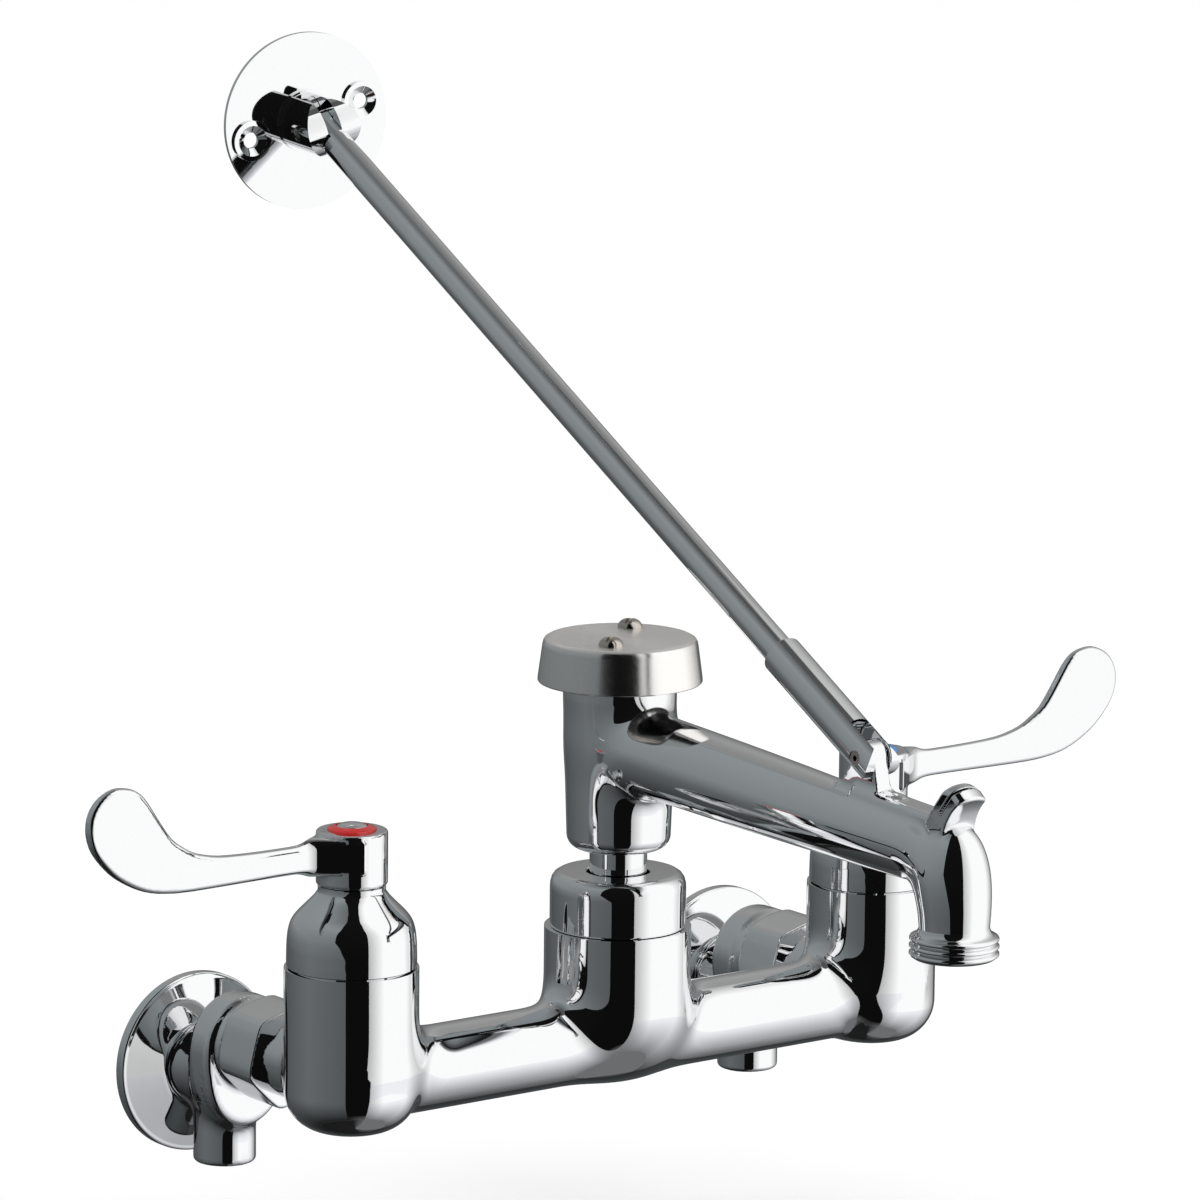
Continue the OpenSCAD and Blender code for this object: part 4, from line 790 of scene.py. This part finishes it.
# Inner and small pieces: cartridges, stems, glands and spindles are machined brass, the discs are
# ceramic, the seals rubber or fibre, the poppet acetal and the pins spring steel. The CAD solids show.
brass = metal("machined_brass", (0.78, 0.58, 0.28), 0.22, grain_scale=1500)
pin_steel = metal("pin_steel", (0.5, 0.48, 0.46), 0.25, grain_scale=1500)
rubber = moulded("black_rubber", (0.03, 0.03, 0.032), 0.55)
fibre = moulded("pressed_fibre", (0.36, 0.2, 0.12), 0.7, mottle=0.2)
ceramic = moulded("lapped_ceramic", (0.85, 0.84, 0.8), 0.15, mottle=0.02)
acetal = moulded("white_acetal", (0.84, 0.84, 0.8), 0.35, mottle=0.03)
SMALL_FINISHES = [  # material, nodes on their own and nodes that stand left and right
    (brass, ["shank_ring", "breaker_seat"], ["cartridge_body", "stem", "stop_gland", "stop_spindle"]),
    (rubber, ["seat_seals", "shank_seals", "poppet_seal"], ["stop_carrier"]),
    (ceramic, [], ["fixed_disc", "turning_disc"]),
    (fibre, ["union_washers"], []),
    (acetal, ["breaker_poppet"], []),
    (pin_steel, ["sleeve_pin", "bracket_pin"], []),
]
for material, single, paired in SMALL_FINISHES:
    for node in single + [f"{side}_{n}" for n in paired for side, _ in SIDES]:
        nodes[node].data.materials.clear()
        nodes[node].data.materials.append(material)

# Studio: a pale floor, white surroundings and soft boards round the faucet, as a photographer sets
# them for polished metal. The boards are seen only in reflections.
FLOOR_Z, FLOOR_HALF = -0.075, 4
MIDDLE = Vector((0.0, -0.11, 0.07))
CAMERA_TURN, BOARD_DISTANCE, BOARD_STEPS = -37.07, 1.5, 24
SKY_FOR_OBJECTS, FLOOR_LIFT = 0.85, 0.2
LAMP_SIZE, LAMP_POWER, LAMP_PLACE = 1.2, 6, (1.1, -1.3, 1.5)
SLATE, COOL, NEUTRAL = (0.89, 0.97, 1.0), (0.98, 0.99, 1.02), (1.0, 1.0, 1.0)
# For each board: its turns from the camera's side at foot and head and its rise, in degrees, its greys
# from one side to the other at foot and head, and its tint.
BOARDS = [
    ("slate_left_foot", (-150, -75), (-150, -75), (-60, -13), (0.012, 0.012), (0.085, 0.16), SLATE),
    ("slate_right_foot", (-75, -11), (-75, -11), (-60, -13), (0.012, 0.012), (0.16, 0.115), SLATE),
    ("slate_left", (-150, -75), (-150, -75), (-13, 8), (0.085, 0.16), (0.3, 0.24), SLATE),
    ("slate_right", (-75, -11), (-75, -30), (-13, 8), (0.16, 0.115), (0.24, 0.2), SLATE),
    ("slate_high", (-150, -30), (-150, -30), (8, 50), (0.3, 0.2), (0.32, 0.3), SLATE),
    ("slate_top", (-150, -30), (-150, -30), (50, 78), (0.32, 0.3), (0.13, 0.13), SLATE),
    ("cloth_low", (-11, 28), (-11, 28), (-48, -13), (0.004, 0.004), (0.004, 0.004), NEUTRAL),
    ("cloth_middle", (-11, 28), (-30, 28), (-13, 8), (0.004, 0.004), (0.005, 0.005), NEUTRAL),
    ("cloth_high", (-30, 28), (-30, 28), (8, 78), (0.005, 0.005), (0.006, 0.006), NEUTRAL),
    ("camera_foot", (-11, 28), (-11, 28), (-60, -48), (0.012, 0.12), (0.004, 0.03), NEUTRAL),
    ("front_panel", (28, 56), (28, 56), (-20, 78), (0.5, 1.08), (0.7, 1.08), NEUTRAL),
    ("front_foot", (28, 56), (28, 56), (-60, -20), (0.13, 0.2), (0.5, 1.0), COOL),
    ("side_panel", (56, 108), (56, 108), (-20, 78), (1.08, 1.08), (1.08, 1.08), NEUTRAL),
    ("side_foot", (56, 108), (56, 108), (-60, -20), (0.2, 0.22), (1.0, 1.0), COOL),
    ("far_panel", (108, 150), (108, 150), (-20, 78), (1.08, 0.26), (1.08, 0.5), NEUTRAL),
    ("far_foot", (108, 150), (108, 150), (-60, -20), (0.22, 0.06), (1.0, 0.26), COOL),
    ("back_foot", (150, 210), (150, 210), (-60, 0), (0.03, 0.02), (0.1, 0.16), SLATE),
    ("back_board", (150, 210), (150, 210), (0, 30), (0.12, 0.2), (0.4, 0.3), NEUTRAL),
    ("back_top", (150, 210), (150, 210), (30, 78), (0.4, 0.3), (0.2, 0.18), NEUTRAL),
    ("ceiling", (-180, 180), (-180, 180), (78, 90), (0.1, 0.1), (0.08, 0.08), NEUTRAL),
    ("dark_table", (-180, 0), (-180, 0), (-90, -60), (0.015, 0.015), (0.012, 0.012), NEUTRAL),
    ("table_edge", (0, 28), (0, 28), (-90, -60), (0.015, 0.15), (0.012, 0.12), COOL),
    ("grey_table", (28, 150), (28, 150), (-90, -60), (0.17, 0.17), (0.17, 0.17), COOL),
    ("rear_table", (150, 180), (150, 180), (-90, -60), (0.17, 0.015), (0.06, 0.012), COOL),
]


def part_way(a, b, share):
    """The value that lies between a and b at this share of the way."""
    return a + (b - a) * share


def board(name, low_turns, high_turns, rises, foot, head, tint):
    """A curved board that shines in its own greys, blended between its four corners."""
    points, faces, greys = [], [], []
    for j in range(BOARD_STEPS + 1):
        for i in range(BOARD_STEPS + 1):
            across, up = i / BOARD_STEPS, j / BOARD_STEPS
            left, right = [part_way(*turns, up) for turns in zip(low_turns, high_turns)]
            turn = math.radians(CAMERA_TURN + part_way(left, right, across))
            rise = math.radians(part_way(*rises, up))
            level = math.cos(rise)
            way = Vector((math.sin(turn) * level, -math.cos(turn) * level, math.sin(rise)))
            points.append(MIDDLE + BOARD_DISTANCE * way)
            greys.append(part_way(part_way(*foot, across), part_way(*head, across), up))
            if i and j:
                k = j * (BOARD_STEPS + 1) + i
                faces.append((k - BOARD_STEPS - 2, k - BOARD_STEPS - 1, k, k - 1))
    mesh = bpy.data.meshes.new(name)
    mesh.from_pydata(points, [], faces)
    mesh.attributes.new("grey", "FLOAT", "POINT").data.foreach_set("value", greys)
    material, tree, _ = blank_material(name)
    tree.nodes.clear()
    read = tree.nodes.new("ShaderNodeAttribute")
    read.attribute_name = "grey"
    glow = tree.nodes.new("ShaderNodeEmission")
    glow.inputs["Color"].default_value = (*tint, 1)
    out = tree.nodes.new("ShaderNodeOutputMaterial")
    join(tree,
         (read.outputs["Fac"], glow.inputs["Strength"]),
         (glow.outputs["Emission"], out.inputs["Surface"]))
    mesh.materials.append(material)
    made = shown(name, mesh)
    made.visible_camera = made.visible_diffuse = made.visible_shadow = False


for sizes in BOARDS:
    board(*sizes)

floor_mesh = bpy.data.meshes.new("floor")
floor_corners = [(x * FLOOR_HALF, y * FLOOR_HALF, FLOOR_Z) for x, y in ((-1, -1), (1, -1), (1, 1), (-1, 1))]
floor_mesh.from_pydata(floor_corners, [], [(0, 1, 2, 3)])
floor_paint, tree, paint = blank_material("floor_paint")
paint.inputs["Base Color"].default_value = (0.93, 0.93, 0.93, 1)
paint.inputs["Roughness"].default_value = 0.9
paint.inputs["Specular IOR Level"].default_value = 0.0
paint.inputs["Emission Color"].default_value = (1, 1, 1, 1)
seen_by = tree.nodes.new("ShaderNodeLightPath")
lift = tree.nodes.new("ShaderNodeMath")
lift.operation = "MULTIPLY"
lift.inputs[1].default_value = FLOOR_LIFT
join(tree,
     (seen_by.outputs["Is Camera Ray"], lift.inputs[0]),
     (lift.outputs["Value"], paint.inputs["Emission Strength"]))
floor_mesh.materials.append(floor_paint)
floor = shown("floor", floor_mesh)
floor.visible_glossy = False

world = bpy.data.worlds.new("white_room")
bpy.context.scene.world = world
world.use_nodes = True
tree = world.node_tree
ray = tree.nodes.new("ShaderNodeLightPath")
seen = tree.nodes.new("ShaderNodeMath")
seen.operation = "MAXIMUM"
either = tree.nodes.new("ShaderNodeMath")
either.operation = "MAXIMUM"
power = tree.nodes.new("ShaderNodeMapRange")
power.inputs["To Min"].default_value = SKY_FOR_OBJECTS
power.inputs["To Max"].default_value = 1.0
sky = tree.nodes["Background"]
sky.inputs["Color"].default_value = (1, 1, 1, 1)
join(tree,
     (ray.outputs["Is Camera Ray"], seen.inputs[0]),
     (ray.outputs["Is Glossy Ray"], seen.inputs[1]),
     (seen.outputs["Value"], either.inputs[0]),
     (ray.outputs["Is Transmission Ray"], either.inputs[1]),
     (either.outputs["Value"], power.inputs["Value"]),
     (power.outputs["Result"], sky.inputs["Strength"]))

lamp_data = bpy.data.lights.new("soft_lamp", "AREA")
lamp_data.size = LAMP_SIZE
lamp_data.energy = LAMP_POWER
lamp = shown("soft_lamp", lamp_data)
lamp.location = LAMP_PLACE
lamp.rotation_euler = (MIDDLE - lamp.location).to_track_quat("-Z", "Y").to_euler()
lamp.visible_glossy = False

# Camera: a long lens left of the faucet and a little above it, as in the photograph. Its place and
# its right and up directions were fitted to the photograph's outlines.
CAMERA_PLACE = (-1.504, -2.0939, 0.6491)
CAMERA_RIGHT, CAMERA_UP = (0.7991, -0.6011, 0.0105), (0.1031, 0.1543, 0.9826)

lens = bpy.data.cameras.new("camera")
lens.sensor_width = 36
lens.lens = 246.7
lens.shift_x, lens.shift_y = -0.0467, -0.068
lens.clip_start, lens.clip_end = 0.1, 20
camera = shown("camera", lens)
right = Vector(CAMERA_RIGHT).normalized()
back = right.cross(Vector(CAMERA_UP)).normalized()
facing = Matrix((right, back.cross(right), back)).transposed()
camera.matrix_world = Matrix.Translation(CAMERA_PLACE) @ facing.to_4x4()
bpy.context.scene.camera = camera
bpy.context.scene.view_settings.view_transform = "Standard"
